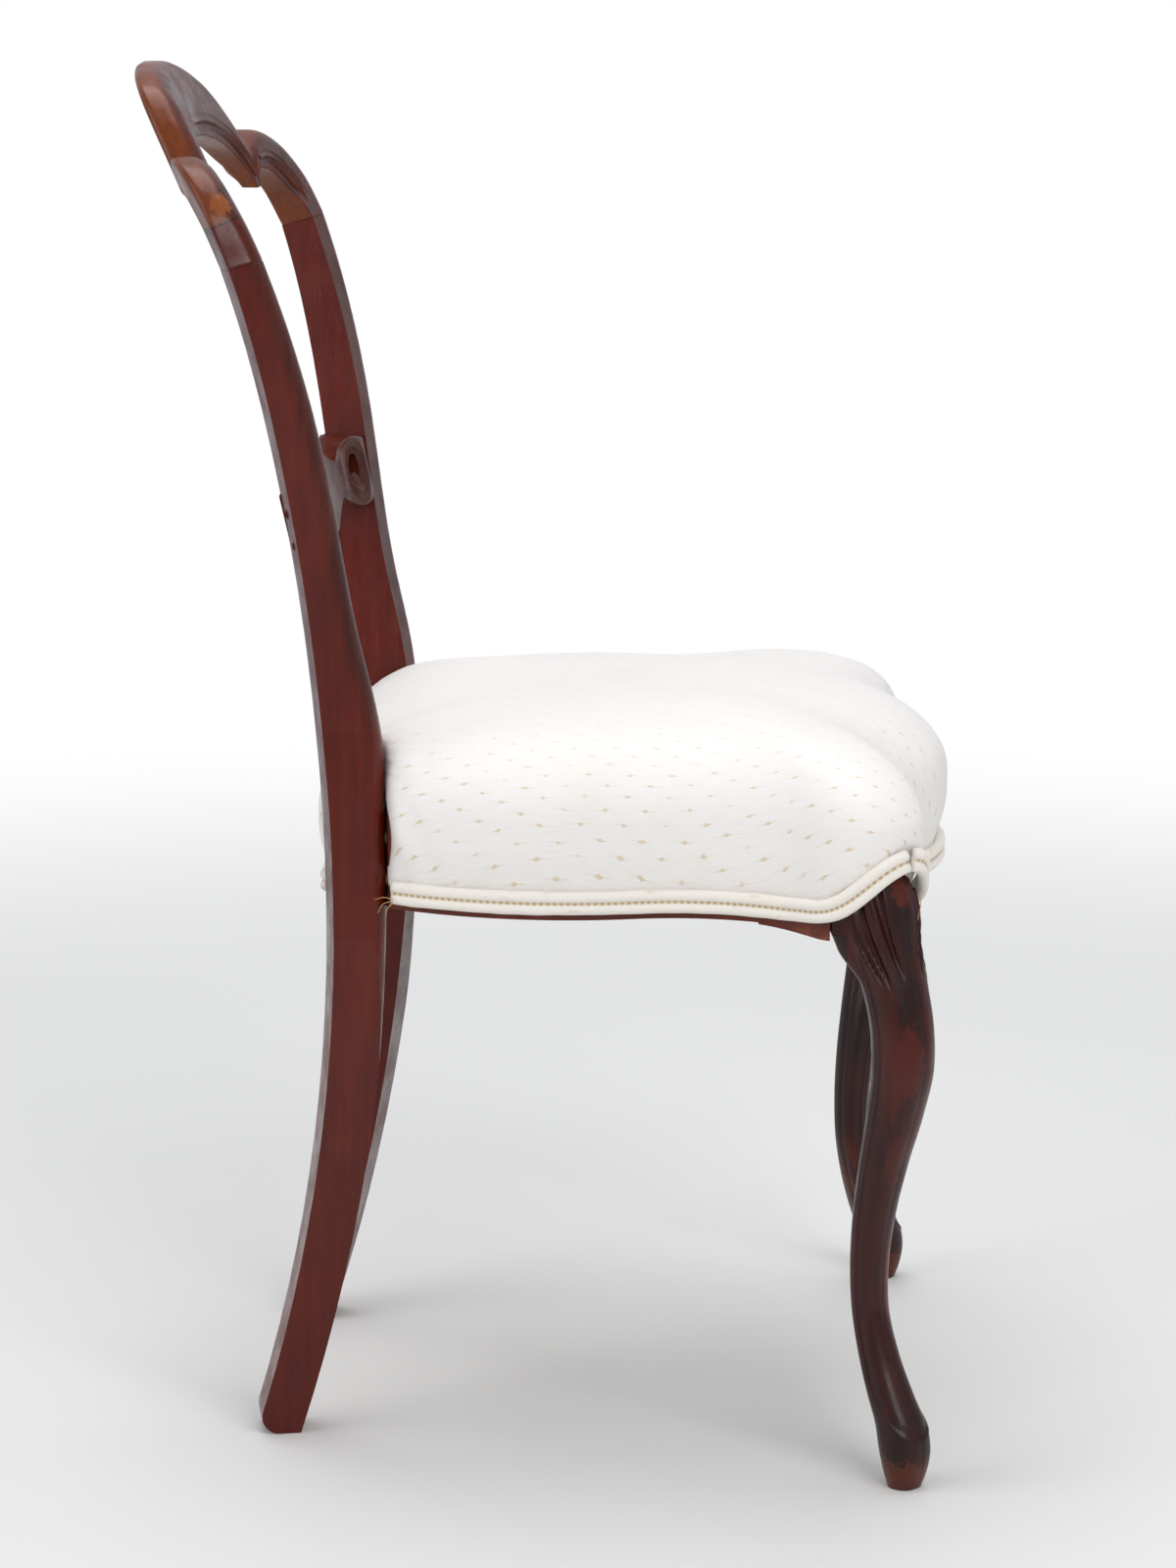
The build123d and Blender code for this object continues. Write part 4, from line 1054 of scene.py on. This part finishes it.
rail_height = 601.0
rail_front_y = 142.0
rail_depth = 15.0
rail_lean = 0.2
ring_place = 112.0
rail_reach = 139.3
hole_reach = 12
rail_halves = curve([(-36, 18), (0, 26), (36, 18), (70, 13.5), (92, 18), (112, 23.5), (128, 22),
                     (151, 20)], np.linspace(0, 1, 300))


def tongue(x, z):
    """Distance from the middle of the tongue in the ring, 1 at its edge."""
    return np.hypot((x - ring_place + 1.5) / 7.0, (z - rail_height + 9.5) / 8.5)


def piercing(x, z):
    """Below 0 inside the comma shaped piercing of the cross rail's end."""
    oval = np.hypot((x - ring_place) / 7.6, (z - rail_height - 2) / 9.6) - 1
    return max(oval, 1 - tongue(x, z))


def rail_carving(x, z, edge):
    """How far the cross rail's front is cut back, in mm; edge is the way to its outline."""
    cut = 1.4 * max(0.0, 1 - edge / 2.6) ** 2
    off = np.hypot((x - ring_place) / 14.0, (z - rail_height) / 18.0)
    if off < 1.3:
        knots = [(0, 3.2), (0.62, 3.2), (0.7, 1.6), (0.77, 0.9), (0.84, 2.2), (0.9, 2.2),
                 (0.97, 0.2), (1.03, 0.0), (1.09, 1.1), (1.16, 0.0), (1.3, 0.0)]
        cut += np.interp(off, *zip(*knots))
        cut -= 2.2 * max(0.0, 1 - tongue(x, z) ** 2)
    for slit in (-3.5, 2.0):
        along = (z - rail_height - 14.5) / 3.4
        aside = (x - ring_place - slit - 0.3 * (z - rail_height - 14.5)) / 0.9
        cut += 1.6 * max(0.0, 1 - along * along) * np.exp(-aside * aside)
    return cut


def cross_rail():
    """The pierced and moulded cross rail of the back, as a front and a back face and walls."""
    columns, rows = 340, 56
    points = []
    flat = []
    for i in range(columns + 1):
        share = 2 * i / columns - 1
        for j in range(rows + 1):
            x = rail_reach * share
            half = np.interp(abs(x), rail_halves[:, 0], rail_halves[:, 1])
            rise = half * (2 * j / rows - 1)
            x += 0.115 * rise * np.sign(share) * smoothstep(0.9, 1.0, abs(share))
            z = rail_height + rise
            value = piercing(abs(x), z)
            if abs(value) < 0.09 and abs(abs(x) - ring_place) < hole_reach:
                step = 0.05
                dx = (piercing(abs(x) + step, z) - value) / step
                dz = (piercing(abs(x), z + step) - value) / step
                grade = dx * dx + dz * dz
                if grade > 1e-6:
                    x -= np.sign(x) * value * dx / grade
                    z -= value * dz / grade
            flat.append((abs(x), z, half - abs(rise)))
            points.append((x, z))
    total = len(points)
    solid = []
    for front in (True, False):
        for (x, z), (ax, az, edge) in zip(points, flat):
            if front:
                cut = rail_carving(ax, az, edge) - 13.0 * smoothstep(86.0, 130.0, ax)
            else:
                cut = rail_depth - 1.2 * max(0.0, 1 - edge / 2.0)
                cut -= 5.0 * (1 - smoothstep(20.0, 60.0, ax))
            y = rail_front_y + rail_lean * (z - rail_height) + cut
            solid.append((x * (y - back_axis_y) / outline_distance, y, z))
    faces = []
    for i in range(columns):
        for j in range(rows):
            a = i * (rows + 1) + j
            ids = (a, a + rows + 1, a + rows + 2, a + 1)
            x, z = [sum(flat[n][way] for n in ids) / 4 for way in (0, 1)]
            if piercing(x, z) > 0 or abs(x - ring_place) > hole_reach:
                faces.append(ids)
    edges = {}
    for face in faces:
        for a, b in zip(face, face[1:] + face[:1]):
            edges[a, b] = edges.get((a, b), 0) + 1
    walls = [(b, a, a + total, b + total) for a, b in sorted(edges) if (b, a) not in edges]
    faces = faces + [tuple(n + total for n in reversed(face)) for face in faces] + walls
    obj = piece("mid_rail_carved", solid, faces, cross_wood)
    crisp(obj, len(walls))
    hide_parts("mid_rail")


cross_rail()


# ---- room, light and camera
def floor():
    """Pale floor that fades out away from the chair, and isn't there from below."""
    mesh = bpy.data.meshes.new("floor")
    mesh.from_pydata([(-8, -8, 0), (8, -8, 0), (8, 8, 0), (-8, 8, 0)], [], [(0, 1, 2, 3)])
    f = Finish("pale_floor")
    f.surface(Base_Color=(0.78, 0.77, 0.75, 1), Roughness=0.6)
    away = f.vector_math("LENGTH", f.spot)
    gone = f.math("MAXIMUM", f.span(away, 1.0, 2.3), f.node("NewGeometry", output="Backfacing"))
    clear = f.node("BsdfTransparent")
    mixed = f.node("MixShader", {0: gone, 1: f.shader.outputs[0], 2: clear})
    f.put(f.tree.nodes["Material Output"].inputs["Surface"], mixed)
    mesh.materials.append(f.material)
    return placed("floor", mesh)


def area_light(name, place, aim, size, power):
    light = bpy.data.lights.new(name, "AREA")
    light.shape = "SQUARE"
    light.size = size
    light.energy = power
    obj = placed(name, light)
    obj.location = place
    obj.rotation_euler = (Vector(aim) - Vector(place)).to_track_quat("-Z", "Y").to_euler()
    return obj


def backdrop():
    """White to the camera and through clear pieces, and a mild grey light on all else."""
    scene.world = bpy.data.worlds.new("studio")
    scene.world.use_nodes = True
    scene.world.node_tree.nodes.clear()
    w = Nodes(scene.world.node_tree)
    seen = w.math("MAXIMUM", w.node("LightPath", output="Is Camera Ray"),
                  w.node("LightPath", output="Is Transmission Ray"))
    mild = w.node("Background", {"Color": (0.5, 0.52, 0.55, 1)})
    white = w.node("Background", {"Color": (1, 1, 1, 1)})
    out = w.tree.nodes.new("ShaderNodeOutputWorld")
    w.put(out.inputs[0], w.node("MixShader", {0: seen, 1: mild, 2: white}))


def photo_camera():
    camera = bpy.data.cameras.new("camera")
    camera.sensor_fit = "VERTICAL"
    camera.sensor_height = 36.0
    camera.lens = 99.0
    camera.clip_end = 50.0
    obj = placed("camera", camera)
    obj.location = (-2.8028, -0.1105, 0.98)
    forward = Vector((0.97935984, 0.02944163, -0.19996874))
    obj.rotation_mode = "QUATERNION"
    obj.rotation_quaternion = forward.to_track_quat("-Z", "Y")
    scene.camera = obj


backdrop()
floor()
area_light("key", (-2.6, -1.6, 2.5), (0, 0, 0.45), 2.0, 58)
area_light("fill", (-1.2, 2.9, 1.6), (0, 0, 0.5), 2.4, 34)
area_light("top", (0.6, 0.1, 3.0), (0, 0, 0.4), 2.0, 34)
photo_camera()
scene.view_settings.view_transform = "Standard"
